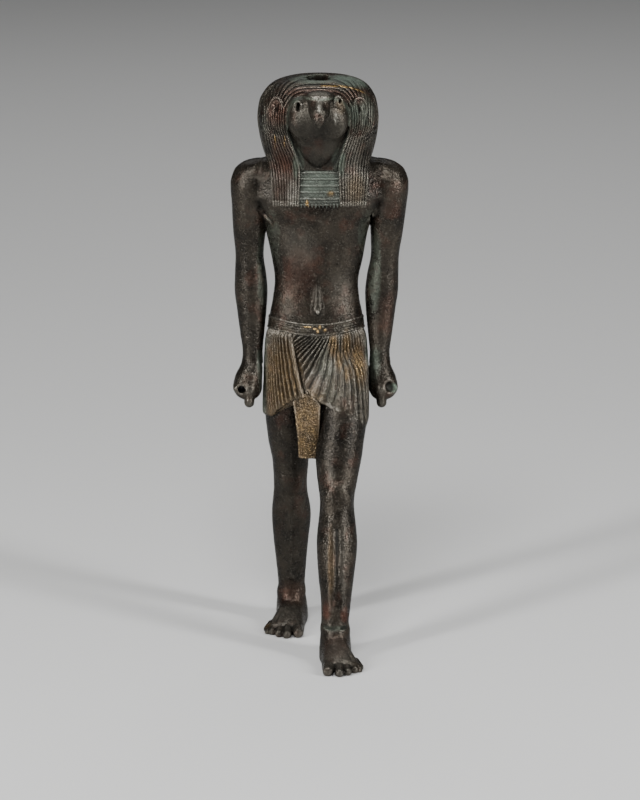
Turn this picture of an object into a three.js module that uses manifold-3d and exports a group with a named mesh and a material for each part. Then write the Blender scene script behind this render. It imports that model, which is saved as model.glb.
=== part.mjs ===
// A striding falcon-headed figure cast in bronze in one piece, in millimetres, +Z up.
// It faces -Y, so its own right side is at -X. The origin is on the ground, under the middle of its outline.
import * as THREE from "three";
import { mergeVertices } from "three/addons/utils/BufferGeometryUtils.js";
import Module from "manifold-3d";

const wasm = await Module();
wasm.setup();

// Driving dimensions
const figureHeight = 262.5;
const strandCount = 11;
const strandDepth = 0.55;
const backStrandCount = 10;
const lappetThickness = 3.2;
const collarRowCount = 5;
const collarRowDepth = 0.5;
const beadCount = 11;
const beadRadius = 0.75;
const beltHeight = 5.6;
const beltLipHeight = 0.9;
const beltLipDepth = 0.65;
const beltFaceDepth = 0.3;
const overlapRaise = 0.5;
const pleatDepth = 0.6;
const frontPleatCount = 30;
const sidePleatCount = 14;
const backPleatCount = 12;
const tabThickness = 3.6;
const tabLift = 0.9;
const gripRadius = 1.7;
const gripRecessDepth = 1.6;
const thumbRadius = 2.3;
const crownSocketDepth = 5;
const crownSocketLength = 10.5;
const crownSocketWidth = 4.2;
const eyeRimRadius = 2.1;
const eyeRimThickness = 0.55;
const eyePitDepth = 2.2;
const earLength = 12.4;
const earWidth = 6.6;
const earThickness = 1.7;
const bigToeRadius = 2.5;
const littleToeRadius = 1.7;

// Every proportion below is a share of the figure's height, in parts of which it has 262.5.
const grow = figureHeight / 262.5;
const g = (length) => length * grow;
const point = (x, y, z) => new THREE.Vector3(g(x), g(y), g(z));
const degrees = Math.PI / 180;
const mix = THREE.MathUtils.lerp;
const clamp = THREE.MathUtils.clamp;
const ease = THREE.MathUtils.smoothstep;

// Sections by height: z, centre x, centre y, half width, depth in front, depth behind.
const torsoTable = [
  [136, -2.35, 0.6, 20.6, 12.6, 12.8],
  [148, -2.35, 0.4, 21.6, 12.9, 12.9],
  [156.5, -2.4, 0, 19.8, 11.6, 10.8],
  [165, -2.2, 0, 19.0, 10.9, 9.9],
  [176.5, -1.8, 0, 20.8, 11.7, 10.9],
  [187.6, -1.6, 0, 23.5, 13.5, 12.7],
  [199, -1.1, 0, 29.2, 15.1, 14.4],
  [209, -0.8, 0.6, 32.6, 14.6, 14.6],
  [216.5, -0.8, 1.2, 32, 12.2, 12.6],
  [220.5, -0.9, 1.8, 29, 9.2, 10.4],
  [223, -1.1, 2, 21, 6.5, 8],
  [225, -1.1, 2, 13, 5, 6],
];
const armTable = [
  [127, 29.1, -1.6, 4.9, 4.6, 4.4],
  [131.5, 29.05, -0.9, 4.6, 4.7, 4.5],
  [140, 29.2, 0.6, 5.5, 5.7, 5.5],
  [151, 29.4, 2.1, 6.75, 6.9, 6.7],
  [160.5, 29.8, 3.0, 7.55, 7.5, 7.3],
  [167, 30.1, 3.0, 7.2, 7.3, 7.2],
  [176.5, 30.8, 2.6, 6.45, 7.0, 7.2],
  [188, 31.4, 2.0, 7.2, 7.8, 8.1],
  [201, 31.5, 1.3, 8.2, 9.2, 9.4],
  [210, 31.7, 0.9, 8.7, 9.6, 9.8],
  [216.5, 31.0, 1.0, 7.6, 8.0, 8.4],
  [220, 29.4, 1.3, 5.2, 5.4, 5.8],
  [221.6, 27.4, 1.6, 2.2, 2.4, 2.6],
];
const rearLegTable = [
  [3, -14.1, 3.2, 6.2, 6.4, 7.0],
  [9, -14.15, 2.8, 6.4, 6.4, 6.8],
  [18, -13.9, 2.4, 6.25, 6.0, 6.3],
  [28, -14, 2.3, 6.9, 6.5, 7.2],
  [38.3, -14.1, 2.1, 7.9, 7.2, 8.6],
  [53, -13.9, 2, 9.05, 7.9, 10.2],
  [67.7, -14.3, 1.8, 7.7, 8.3, 8.3],
  [78, -14.2, 1.9, 8.3, 8.9, 8.5],
  [90, -15.3, 1.8, 9.3, 9.7, 9.9],
  [104, -15.8, 1.5, 10.1, 10.6, 11.2],
  [132, -14, 1, 10.4, 11.2, 12],
];
const frontLegTable = [
  [3, 6.25, -52.3, 6.1, 6.4, 7.0],
  [9, 6.25, -52.0, 6.3, 6.4, 6.8],
  [16, 6.25, -50.2, 6.3, 6.4, 6.7],
  [26.6, 6.7, -47.0, 6.9, 7.0, 7.6],
  [36.8, 6.8, -43.5, 8.1, 7.7, 9.0],
  [51.5, 7.15, -38.2, 9.25, 8.5, 10.7],
  [68.5, 7.15, -31, 7.8, 8.9, 9.0],
  [79.3, 7.4, -26.6, 9.3, 9.6, 9.6],
  [91.3, 8.2, -21.4, 10.8, 10.7, 11.0],
  [106, 9.8, -15, 11.0, 11.5, 11.8],
  [134, 9.6, -2.6, 10.8, 11.6, 12],
];
const hipsTable = [
  [88, -2.3, 0.8, 20.4, 18.8, 12.5],
  [98, -2.3, 0.8, 22.2, 18.8, 13.8],
  [111, -2.3, 0.8, 23.7, 18.2, 15.2],
  [122.4, -2.4, 0.7, 23.5, 16.8, 15.8],
  [133.8, -2.4, 0.6, 23.0, 15.2, 15.6],
  [142, -2.4, 0.5, 22.2, 14.0, 14.6],
  [150, -2.4, 0.4, 21.3, 13.0, 13.0],
];
const wigTable = [
  [220, -1.2, -1, 22.4, 16.2, 17.6],
  [226.5, -1.3, -1, 24.8, 18.2, 19.8],
  [234.6, -1.4, -1, 26.6, 20.0, 22.2],
  [241.5, -1.5, -0.7, 27.3, 21.2, 23.4],
  [248.5, -1.5, -0.2, 26.4, 21.2, 23.2],
  [253, -1.3, 0.4, 24.2, 19.4, 21.2],
  [256.4, -1.1, 1, 20.8, 16.4, 17.6],
  [258.6, -0.9, 1.4, 15.2, 11.8, 12.6],
  [259.6, -0.8, 1.6, 8.4, 6.4, 7],
  [260, -0.8, 1.8, 2.5, 2, 2.2],
];
const faceTable = [
  [220.8, -1.5, -10, 2.4, 5.8, 3],
  [223.5, -1.5, -10, 5.7, 8.0, 3],
  [228, -1.5, -10, 9.3, 10.2, 4],
  [234, -1.5, -10, 12.0, 12.6, 4],
  [240, -1.5, -10, 14.2, 15.4, 4],
  [246, -1.5, -10, 14.9, 16.8, 4],
  [251, -1.5, -10, 14.6, 16.2, 4],
  [255, -1.4, -10, 12.6, 13.0, 4],
  [257, -1.4, -10, 9, 9, 4],
];

// A table becomes a smooth function of its first column, which never overshoots a station.
const through = (table) => smooth(table.map((row) => row.map(g)));

function smooth(table) {
  const keys = table.map((row) => row[0]);
  const columns = table[0].slice(1).map((_, c) => table.map((row) => row[c + 1]));
  const slopes = columns.map((values) => tangents(keys, values));
  return (key) => {
    const at = clamp(key, keys[0], keys.at(-1));
    const i = clamp(keys.findLastIndex((k) => k <= at), 0, keys.length - 2);
    const span = keys[i + 1] - keys[i];
    const t = (at - keys[i]) / span;
    const risen = t * t * (3 - 2 * t);
    return columns.map((values, c) => mix(values[i], values[i + 1], risen)
      + span * t * (1 - t) * (slopes[c][i] * (1 - t) - slopes[c][i + 1] * t));
  };
}

function tangents(keys, values) {
  const secants = values.slice(1).map((value, i) => (value - values[i]) / (keys[i + 1] - keys[i]));
  return values.map((_, i) => {
    const before = secants[Math.max(i - 1, 0)];
    const after = secants[Math.min(i, secants.length - 1)];
    return before * after > 0 ? (2 * before * after) / (before + after) : 0;
  });
}

// The legs slant forwards, so that the weight comes down between the soles.
// By height: how far the body stands ahead of its rear foot, and how much longer that makes the legs.
const slantAt = through([[10, 0, 0], [45, 3.4, 0.8], [85, 7.4, 1.75], [120, 10.1, 2.4], [140, 10.5, 2.5]]);

// A closed geometry becomes a solid, moved to where the slant of the legs puts it.
function solid(geometry) {
  geometry.deleteAttribute("normal");
  geometry.deleteAttribute("uv");
  const merged = mergeVertices(geometry);
  const { position } = merged.attributes;
  for (let i = 0; i < position.count; i += 1) {
    const [ahead, higher] = slantAt(position.getZ(i));
    position.setY(i, position.getY(i) - ahead);
    position.setZ(i, position.getZ(i) + higher);
  }
  const triVerts = new Uint32Array(merged.index.array);
  return new wasm.Manifold(new wasm.Mesh({
    numProp: 3,
    vertProperties: merged.attributes.position.array,
    triVerts,
  }));
}

// A sphere's grid laid over any round form: turn runs round it, and rise from its lower to its upper pole.
function skin(sides, rows, place) {
  const geometry = new THREE.SphereGeometry(1, sides, rows);
  const { position, uv } = geometry.attributes;
  for (let i = 0; i < position.count; i += 1) {
    const spot = place(uv.getX(i) % 1, uv.getY(i));
    position.setXYZ(i, spot.x, spot.y, spot.z);
  }
  return solid(geometry);
}

// A box's grid laid over any slab: across and up run over its face, and out from its back to its face.
function slab(columns, rows, place) {
  const geometry = new THREE.BoxGeometry(1, 1, 1, columns, rows, 1);
  const { position } = geometry.attributes;
  for (let i = 0; i < position.count; i += 1) {
    const spot = place(position.getX(i) + 0.5, position.getY(i) + 0.5, position.getZ(i) + 0.5);
    position.setXYZ(i, spot.x, spot.y, spot.z);
  }
  return solid(geometry);
}

// The rise of a ring, with both poles lying flat in the end rings.
const ringShare = (rise, rows) => clamp((rise * rows - 1) / (rows - 2), 0, 1);
const isPole = (rise) => rise < 1e-6 || rise > 1 - 1e-6;

// Power 2 rounds a section as an ellipse, and a higher power squares it.
function around(turn, power) {
  const angle = turn * 2 * Math.PI;
  const bend = (value) => Math.sign(value) * Math.abs(value) ** (2 / power);
  return [bend(Math.cos(angle)), bend(Math.sin(angle))];
}

// Rings lie closer together towards a domed top.
const closerAtTop = (share) => 1 - (1 - share) ** 1.45;

function loft(table, { sides, rows, power = 2, spread = (share) => share, side = 0 }) {
  const at = through(table);
  const bottom = g(table[0][0]);
  const top = g(table.at(-1)[0]);
  return skin(sides, rows, (turn, rise) => {
    const z = mix(bottom, top, spread(ringShare(rise, rows)));
    const [x, y, wide, front, back] = at(z);
    const [across, along] = isPole(rise) ? [0, 0] : around(turn, power);
    const centre = side ? spine(z) + side * x : x;
    return new THREE.Vector3(centre + across * wide, y + along * (along < 0 ? front : back), z);
  });
}

// A tapering rod with round ends.
function rod(from, to, startRadius, endRadius, sides = 6) {
  const axis = to.clone().sub(from).normalize();
  const turnTo = new THREE.Quaternion().setFromUnitVectors(new THREE.Vector3(0, 0, 1), axis);
  const tilts = [0, 45, 90];
  const rows = 2 * tilts.length - 1;
  return skin(sides, rows, (turn, rise) => {
    const step = Math.round(rise * rows);
    const atEnd = step >= tilts.length;
    const radius = atEnd ? endRadius : startRadius;
    const tilt = tilts[atEnd ? rows - step : step] * degrees;
    const [across, along] = around(turn, 2);
    const out = new THREE.Vector3(across, along, 0).multiplyScalar(radius * Math.sin(tilt));
    out.z = radius * Math.cos(tilt) * (atEnd ? 1 : -1);
    return out.applyQuaternion(turnTo).add(atEnd ? to : from);
  });
}

function ball(centre, radii, sides = 12, rows = 8, tilt = new THREE.Euler()) {
  const geometry = new THREE.SphereGeometry(1, sides, rows);
  const turnTo = new THREE.Quaternion().setFromEuler(tilt);
  return solid(geometry.applyMatrix4(new THREE.Matrix4().compose(centre, turnTo, radii)));
}

const union = (solids) => solids.reduce((all, one) => all.add(one));

// The middle of the body leans a little to its own right from the shoulders down.
const spineAt = through([
  [90, -2.35], [150, -2.35], [168, -2.1], [187, -1.5], [209, -0.8], [215, -0.8], [232, -1.5], [262, -1.2],
]);
const spine = (z) => spineAt(z)[0];

// The kilt is pulled taut round the hips and both thighs. Turn is 0 in front and grows to the figure's left.
const hipsAt = through(hipsTable);
const rearLegAt = through(rearLegTable);
const frontLegAt = through(frontLegTable);
const clothOverLeg = 0.6;
const tautSteps = 60;

function reach([x, y, wide, front, back], extra, cos, sin) {
  const deep = sin < 0 ? front : back;
  return x * cos + y * sin + Math.hypot((wide + extra) * cos, (deep + extra) * sin);
}

function kiltPoint(turn, z, lift) {
  const hips = hipsAt(z);
  const legs = [rearLegAt(z), frontLegAt(z)];
  const aim = [g(24) * Math.sin(turn * degrees), -g(15) * Math.cos(turn * degrees)];
  let scale = Infinity;
  for (let i = 0; i < tautSteps; i += 1) {
    const angle = (i / tautSteps) * 2 * Math.PI;
    const cos = Math.cos(angle);
    const sin = Math.sin(angle);
    const facing = aim[0] * cos + aim[1] * sin;
    if (facing > 0) {
      const onLegs = legs.map((leg) => reach(leg, g(clothOverLeg), cos, sin));
      const far = Math.max(reach(hips, 0, cos, sin), ...onLegs);
      scale = Math.min(scale, (far - hips[0] * cos - hips[1] * sin) / facing);
    }
  }
  const out = scale + lift / Math.hypot(...aim);
  return new THREE.Vector3(hips[0] + aim[0] * out, hips[1] + aim[1] * out, z);
}

// Hem height round the kilt by turn, from the right side over the front to the left side and the back.
const hemAt = smooth([
  [-180, 103], [-90, 103.5], [-60, 104.5], [-42, 108], [-28, 111.5], [-12, 114], [3, 113],
  [13, 109.5], [31, 101], [48, 97.5], [66, 94.8], [90, 95.5], [135, 99.5], [180, 103],
]);
const hem = (turn) => g(hemAt(turn)[0]);
const beltBottom = g(148.1) - beltHeight;
const coreInset = g(1.5);
const panelInset = g(3.6);

function kiltCore() {
  const sides = 32;
  const lifts = [
    [beltBottom + beltHeight, -0.5],
    [beltBottom + beltHeight, beltLipDepth],
    [beltBottom + beltHeight - beltLipHeight, beltFaceDepth],
    [beltBottom + beltLipHeight, beltFaceDepth],
    [beltBottom, beltLipDepth],
    [beltBottom, -coreInset],
  ];
  const lowerRows = 2;
  const rows = lifts.length + lowerRows + 1;
  return skin(sides, rows, (around01, rise) => {
    const step = Math.round((1 - rise) * rows);
    const turn = around01 * 360 - 180;
    if (step === 0 || step === rows) {
      const [x, y] = hipsAt(beltBottom);
      return new THREE.Vector3(x, y, step === 0 ? beltBottom + beltHeight : g(106));
    }
    if (step <= lifts.length) {
      const [z, lift] = lifts[step - 1];
      return kiltPoint(turn, z, lift);
    }
    const z = mix(beltBottom, hem(turn), (step - lifts.length) / lowerRows);
    return kiltPoint(turn, z, -coreInset);
  });
}

// A panel of pleats. edge(share) gives the turn at the belt, and the turn and height at the hem.
function pleats(count, rows, edge) {
  const columns = 2 * count;
  return slab(columns, rows, (across, up, out) => {
    const { top, low, end, raise = 0 } = edge(across);
    const ridge = Math.round(across * columns) % 2 === 1 ? 0.5 : -0.5;
    const turn = mix(low, top, up);
    const z = mix(end, beltBottom + g(0.3), up);
    return kiltPoint(turn, z, out > 0.5 ? ridge * pleatDepth + raise : -panelInset);
  });
}

const overlapTop = -27;
const overlapLow = -10.2;
const sideTurn = 95;
const panelLap = 2.5;

function sidePanel() {
  return pleats(sidePleatCount, 2, (share) => {
    const low = mix(-sideTurn, overlapLow, share);
    const raise = overlapRaise * ease(share, 0.6, 0.95);
    return { top: mix(-sideTurn, overlapTop, share), low, end: hem(low), raise };
  });
}

// The pleats of the wrapped end fan out from the belt: first onto the overlap, then down to the hem.
const fanAt = smooth([
  [0, -27, -30, 141.5],
  [17, -10, -27, 138],
  [27, 0, -23.5, 133],
  [36, 9.2, -18.6, 125],
  [44, 16.6, -13, 116],
  [49, 22, 3, 113],
  [55, 28, 13, 109.5],
  [67, 40, 31, 101],
  [81, 54, 48, 97.5],
  [96, 69, 66, 94.8],
  [122, 95, 95, 95.8],
]);

function frontPanel() {
  return pleats(frontPleatCount, 3, (share) => {
    const [top, low, end] = fanAt(share * (sideTurn - overlapTop));
    return { top, low, end: g(end) };
  });
}

function backPanel() {
  return pleats(backPleatCount, 2, (share) => {
    const turn = mix(sideTurn - panelLap, 360 - sideTurn + panelLap, share);
    return { top: turn, low: turn, end: hem(turn > 180 ? turn - 360 : turn) };
  });
}

function tab() {
  const low = g(87.1);
  const high = g(116);
  return slab(4, 5, (across, up, out) => {
    const z = mix(low, high - (2 * across - 1) ** 2 * g(4), up);
    const x = mix(g(mix(-10.4, -13.2, up ** 2)), g(mix(-1.7, -0.4, up)), across);
    const turn = Math.asin((x - g(-2.3)) / g(24)) / degrees;
    const onCloth = kiltPoint(turn, z, tabLift).y;
    const hanging = g(mix(-22, -23.6, across) + (2 * across - 1) ** 2 * 0.7);
    const face = mix(hanging, onCloth, ease(z, g(97), g(114)));
    return new THREE.Vector3(x, face + (1 - out) * tabThickness, z);
  });
}

// The wig: a cap, two lappets on the chest and one down the back.
const wigAt = through(wigTable);

function wigCap() {
  const cap = loft(wigTable, { sides: 28, rows: 12, power: 2.15, spread: closerAtTop });
  const opening = new THREE.Shape();
  opening.moveTo(g(-1.5), g(217));
  opening.quadraticCurveTo(g(-10), g(225), g(-12.6), g(233));
  opening.quadraticCurveTo(g(-16.2), g(241), g(-15.6), g(248));
  opening.quadraticCurveTo(g(-14), g(254.8), g(-1.4), g(254.8));
  opening.quadraticCurveTo(g(11.2), g(254.8), g(12.9), g(248));
  opening.quadraticCurveTo(g(13.5), g(241), g(9.9), g(233));
  opening.quadraticCurveTo(g(7.2), g(225), g(-1.5), g(217));
  const depth = g(25);
  const cut = new THREE.ExtrudeGeometry(opening, { depth, bevelEnabled: false, curveSegments: 5 });
  cut.rotateX(90 * degrees);
  cut.translate(0, -g(15.5), 0);
  return cap.subtract(solid(cut));
}

const superFront = (share, power) => (1 - Math.abs(share) ** power) ** (1 / power);

function strandRidge(share, count) {
  const step = Math.round(share * count * 2);
  return step % 2 === 1 ? strandDepth / 2 : -strandDepth / 2;
}

function lappet(side) {
  const inner = through([[203.6, 9.2], [221, 8.6], [226, 9.6], [234, 12.6], [240, 14.3]]);
  const outer = through([[203.6, 21.2], [213, 21.9], [222, 23.0], [229, 24.8], [240, 26.5]]);
  const low = g(203.6);
  const high = g(240);
  return slab(2 * strandCount, 3, (across, up, out) => {
    const z = mix(low, high, up);
    const share = side < 0 ? 1 - across : across;
    const offset = mix(inner(z)[0], outer(z)[0], share);
    const [, y, wide, front] = wigAt(Math.max(z, g(220)));
    const onCap = y - front * superFront(Math.min(offset / wide, 0.995), 2.15);
    const onChest = g(-14.6) - lappetThickness + (offset / g(21.2)) ** 2 * g(3.4);
    const face = mix(onChest, onCap - g(0.3), ease(z, g(214), g(230)));
    const ridge = strandRidge(across, strandCount);
    const lift = mix(ridge, -g(1.2), ease(z, g(236), g(239.9)));
    const back = Math.max(face + g(3), g(mix(-8, -5, up)));
    return new THREE.Vector3(spine(z) + side * offset, out > 0.5 ? face - lift : back, z);
  });
}

function backLappet() {
  const low = g(204);
  const high = g(240);
  return slab(2 * backStrandCount, 3, (across, up, out) => {
    const z = mix(high, low, up);
    const offset = mix(-1, 1, across) * g(mix(24, 17.5, up));
    const [, y, wide, , back] = wigAt(Math.max(z, g(220)));
    const onCap = y + back * superFront(Math.min(Math.abs(offset) / wide, 0.995), 2.15);
    const onBack = g(17.6) - (offset / g(20)) ** 2 * g(3.4);
    const face = mix(onBack, onCap + g(0.2), ease(z, g(212), g(230)));
    const lift = z > g(239) ? -g(1.2) : strandRidge(across, backStrandCount);
    const inside = Math.min(face - g(3), g(8));
    return new THREE.Vector3(spine(z) + offset, out > 0.5 ? face + lift : inside, z);
  });
}

function collar() {
  const low = g(205.4);
  const high = g(220.5);
  const rows = 2 * collarRowCount;
  return slab(2, rows, (across, up, out) => {
    const z = mix(low, high, up);
    const x = spine(z) + mix(-1, 1, across) * g(10);
    const ridge = Math.round(up * rows) % 2 === 1 ? collarRowDepth / 2 : -collarRowDepth / 2;
    const face = -g(16.4) + (2 * across - 1) ** 2 * g(0.5) + up * g(0.6) - ridge;
    return new THREE.Vector3(x, out > 0.5 ? face : g(-7), z);
  });
}

function dropBeads() {
  const pitch = g(18) / beadCount;
  return Array.from({ length: beadCount }, (_, i) => {
    const x = spine(g(204)) + (i - (beadCount - 1) / 2) * pitch;
    const bead = new THREE.ConeGeometry(beadRadius, g(3), 5);
    return solid(bead.rotateX(-90 * degrees).translate(x, -g(15.2), g(204.4)));
  });
}

// The falcon's head: the face with its feathered throat, the beak, and the eyes.
const faceAt = through(faceTable);
const facePower = 2.6;

function facePoint(offset, z) {
  const [x, y, wide, front] = faceAt(g(z));
  const share = g(offset) / wide;
  return new THREE.Vector3(x + g(offset), y - front * superFront(share, facePower), g(z));
}

function face() {
  return loft(faceTable, { sides: 20, rows: 10, power: facePower });
}

function beak() {
  const path = smooth([
    [0, -20, 249.6, 6.4, 5.4],
    [0.3, -25, 249.8, 5.4, 4.6],
    [0.6, -28.4, 248.6, 3.7, 3.6],
    [0.82, -30.4, 246.3, 2.4, 2.3],
    [1, -31, 243.3, 0.7, 0.7],
  ]);
  const rows = 8;
  return skin(10, rows, (turn, rise) => {
    const share = ringShare(rise, rows);
    const [y, z, wide, high] = path(share);
    const [nearY, nearZ] = path(Math.max(share - 0.05, 0));
    const [farY, farZ] = path(Math.min(share + 0.05, 1));
    const along = new THREE.Vector3(0, farY - nearY, farZ - nearZ).normalize();
    const aside = new THREE.Vector3(1, 0, 0);
    const above = along.clone().cross(aside);
    const [across, up] = isPole(rise) ? [0, 0] : around(turn, 2);
    return point(-0.9, y, z).addScaledVector(aside, across * g(wide)).addScaledVector(above, up * g(high));
  });
}

function brow() {
  return ball(point(-0.9, -19.6, 252.4), point(9.6, 7.4, 3.4), 12, 6);
}

// Each eye is a raised rim round a pit, set in the slope of the face.
const faceSlope = 40;
const eyes = [
  { offset: -9.2, z: 251, tall: 1.3, lean: 0, pitWidth: 0.8, pitHeight: 1.8 },
  { offset: 9.7, z: 252, tall: 1.6, lean: -8, pitWidth: 1.3, pitHeight: 2.8 },
];

function eyeRim({ offset, z, tall, lean }) {
  const ring = new THREE.TorusGeometry(g(eyeRimRadius), eyeRimThickness, 4, 10);
  ring.scale(1, tall, 1).rotateZ(lean * degrees).rotateX(90 * degrees);
  ring.rotateZ(Math.sign(offset) * faceSlope * degrees);
  const spot = facePoint(offset, z);
  return solid(ring.translate(spot.x, spot.y, spot.z));
}

function eyePit({ offset, z, lean, pitWidth, pitHeight }) {
  const aim = new THREE.Euler(0, lean * degrees, Math.sign(offset) * faceSlope * degrees, "ZYX");
  const radii = new THREE.Vector3(g(pitWidth), eyePitDepth, g(pitHeight));
  return ball(facePoint(offset, z), radii, 8, 6, aim);
}

// The ears lie on the wig: a rim and lobe round a hollow.
function ear(side) {
  const aim = new THREE.Euler(0, side * -8 * degrees, side * 33 * degrees, "ZYX");
  const spot = point(-1.5 + side * 19, -14.9, 247.6);
  const outer = ball(spot, new THREE.Vector3(earWidth / 2, earThickness, earLength / 2), 10, 6, aim);
  const hollowRadii = new THREE.Vector3(earWidth * 0.27, earThickness * 0.8, earLength * 0.27);
  const out = new THREE.Vector3(side * 0.9, -1.45, 1.4);
  const hollow = ball(spot.clone().add(out), hollowRadii, 8, 5, aim);
  return outer.subtract(hollow);
}

// The torso, with the breast muscles and the hanging fold of the navel.
function torso() {
  const body = loft(torsoTable, { sides: 20, rows: 13, power: 2.2, spread: closerAtTop });
  const breasts = [-1, 1].map((side) => {
    const aim = new THREE.Euler(0, side * 12 * degrees, side * 18 * degrees, "ZYX");
    return ball(point(-0.9 + side * 14, -6.2, 204.2), point(15.4, 8.2, 11.6), 12, 7, aim);
  });
  const throat = ball(point(-1.2, -4, 219), point(15, 8, 9), 8, 5);
  const navel = ball(point(-1.5, -10.7, 158.6), point(2.9, 1.7, 7.9), 8, 6);
  const navelTip = ball(point(-1.7, -12, 153.4), point(1.3, 1.1, 1.6), 6, 4);
  return union([body, ...breasts, throat, navel, navelTip]);
}

// A closed fist hangs with its thumb down in front, and grips from front to back.
const fistTable = [
  [109.9, 30.6, -3, 2.2, 3.4, 3.4],
  [112, 31.2, -3, 5.2, 6.2, 6.0],
  [115.2, 31.4, -3, 6.6, 7.0, 6.8],
  [120, 31.0, -2.8, 6.3, 6.8, 6.5],
  [125.3, 29.7, -2.2, 5.1, 5.6, 5.4],
  [130, 29.05, -1.2, 4.6, 4.7, 4.5],
];
const grip = { out: 34.05, z: 115 };

function hand(side) {
  const at = (out, y, z) => point(spine(g(z)) / grow + side * out, y, z);
  const palm = loft(fistTable, { sides: 10, rows: 7, power: 2.4, side });
  const thumb = rod(at(30.4, -8.0, 122.5), at(30.8, -9.4, 109.4), thumbRadius, thumbRadius * 0.9);
  const fingers = [-7.3, -3.9, -0.4, 3].map((y) => rod(at(36.2, y, 116.2), at(31, y, 111.6), g(2.2), g(1.9)));
  const bore = side < 0
    ? rod(at(grip.out, -20, grip.z), at(grip.out, 15, grip.z), gripRadius, gripRadius, 8)
    : rod(at(grip.out, -20, grip.z), at(grip.out, -9.6 + gripRecessDepth, grip.z), gripRadius, gripRadius, 8);
  return union([palm, thumb, ...fingers]).subtract(bore);
}

function arm(side) {
  const limb = loft(armTable, { sides: 12, rows: 13, side, spread: closerAtTop });
  return limb.add(hand(side));
}

// A foot points forward, and its toes splay outwards. Its heel turns inwards, or with a minus outwards.
// The table holds the reach forward, the shift outwards, the half width and the height.
const footTable = [
  [-14.6, -1.6, 3.8, 4.2],
  [-12.6, -1.5, 6.2, 8.6],
  [-8, -1.2, 7.2, 13],
  [-1, -0.4, 6.9, 14.5],
  [6, 0.7, 7.1, 12.2],
  [12.5, 2.2, 8.3, 8.6],
  [17, 3.3, 9.0, 6.2],
  [19, 3.7, 8.4, 4.6],
];
const toes = [
  { out: -3.3, tip: 24.5, from: 15 },
  { out: 1.9, tip: 25.6, from: 16 },
  { out: 5.7, tip: 23.6, from: 14.5 },
  { out: 8.8, tip: 20.2, from: 12.5 },
  { out: 11.2, tip: 16.4, from: 10 },
];

function foot(ankleX, ankleY, side, heelTurn) {
  const at = through(footTable);
  const rows = 8;
  const heel = g(footTable[0][0]);
  const toeRoot = g(footTable.at(-1)[0]);
  const body = skin(12, rows, (turn, rise) => {
    const forward = mix(heel, toeRoot, ringShare(rise, rows));
    const [out, wide, high] = at(forward);
    const [across, up] = isPole(rise) ? [0, 0] : around(turn, 2.3);
    const x = g(ankleX) + side * (out < 0 ? out * heelTurn : out) + across * wide;
    return new THREE.Vector3(x, g(ankleY) - forward, up > 0 ? up * high : up * g(3));
  });
  const digits = toes.map(({ out, tip, from }, i) => {
    const radius = i === 0 ? bigToeRadius : mix(2.05, littleToeRadius, (i - 1) / 3);
    const start = point(ankleX + side * (out * 0.82), ankleY - from, 2.6);
    const end = new THREE.Vector3(g(ankleX + side * out), g(ankleY - tip) + radius, radius * 0.85);
    return rod(start, end, radius * 1.05, radius);
  });
  return union([body, ...digits]);
}

function legs() {
  const rear = loft(rearLegTable, { sides: 14, rows: 12 });
  const front = loft(frontLegTable, { sides: 14, rows: 12 });
  const rearKnee = ball(point(-14.2, -4.3, 70), point(4.8, 2.6, 5.4), 8, 5);
  const frontKnee = ball(point(7.2, -36.6, 70.5), point(5, 3, 5.6), 8, 5);
  return union([rear, front, rearKnee, frontKnee, foot(-14, 0, -1, 2.5), foot(6.3, -53, 1, -1)]);
}

// The ragged socket in the crown, which once held a headdress.
function crownSocket() {
  const outline = new THREE.Shape();
  const shares = [
    [-0.5, -0.35], [-0.2, -0.5], [0.1, -0.3], [0.42, -0.45],
    [0.5, 0.2], [0.2, 0.5], [-0.15, 0.3], [-0.45, 0.5],
  ];
  const corners = shares.map(([x, y]) => [x * crownSocketLength, y * crownSocketWidth]);
  outline.setFromPoints(corners.map(([x, y]) => new THREE.Vector2(x, y)));
  const cut = new THREE.ExtrudeGeometry(outline, { depth: crownSocketDepth + g(5), bevelEnabled: false });
  return solid(cut.translate(-g(2), g(2), g(wigTable.at(-1)[0]) - crownSocketDepth));
}

function ground() {
  return solid(new THREE.BoxGeometry(g(200), g(300), g(20)).translate(0, 0, -g(10)));
}

const figure = union([
  torso(), arm(-1), arm(1), legs(),
  kiltCore(), sidePanel(), frontPanel(), backPanel(), tab(),
  wigCap(), lappet(-1), lappet(1), backLappet(), collar(), ...dropBeads(),
  face(), beak(), brow(), ...eyes.map(eyeRim), ear(-1), ear(1),
]).subtract(union([...eyes.map(eyePit), crownSocket(), ground()]));

function named(name, shape, material) {
  const { vertProperties, triVerts } = shape.getMesh();
  const geometry = new THREE.BufferGeometry();
  geometry.setAttribute("position", new THREE.BufferAttribute(vertProperties, 3));
  geometry.setIndex(new THREE.BufferAttribute(triVerts, 1));
  geometry.computeVertexNormals();
  const mesh = new THREE.Mesh(geometry, material);
  mesh.name = name;
  return mesh;
}

const bronze = new THREE.MeshStandardMaterial({ color: 0x3c342d, roughness: 0.45, metalness: 0.85 });
const mesh = named("figure", figure, bronze);
const { min, max } = figure.boundingBox();
mesh.position.set(-(min[0] + max[0]) / 2, -(min[1] + max[1]) / 2, 0);

const model = new THREE.Group();
model.add(mesh);
export default model;
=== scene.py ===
import logging
import math
from dataclasses import dataclass, field, replace
from enum import Enum
from typing import Callable

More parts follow.
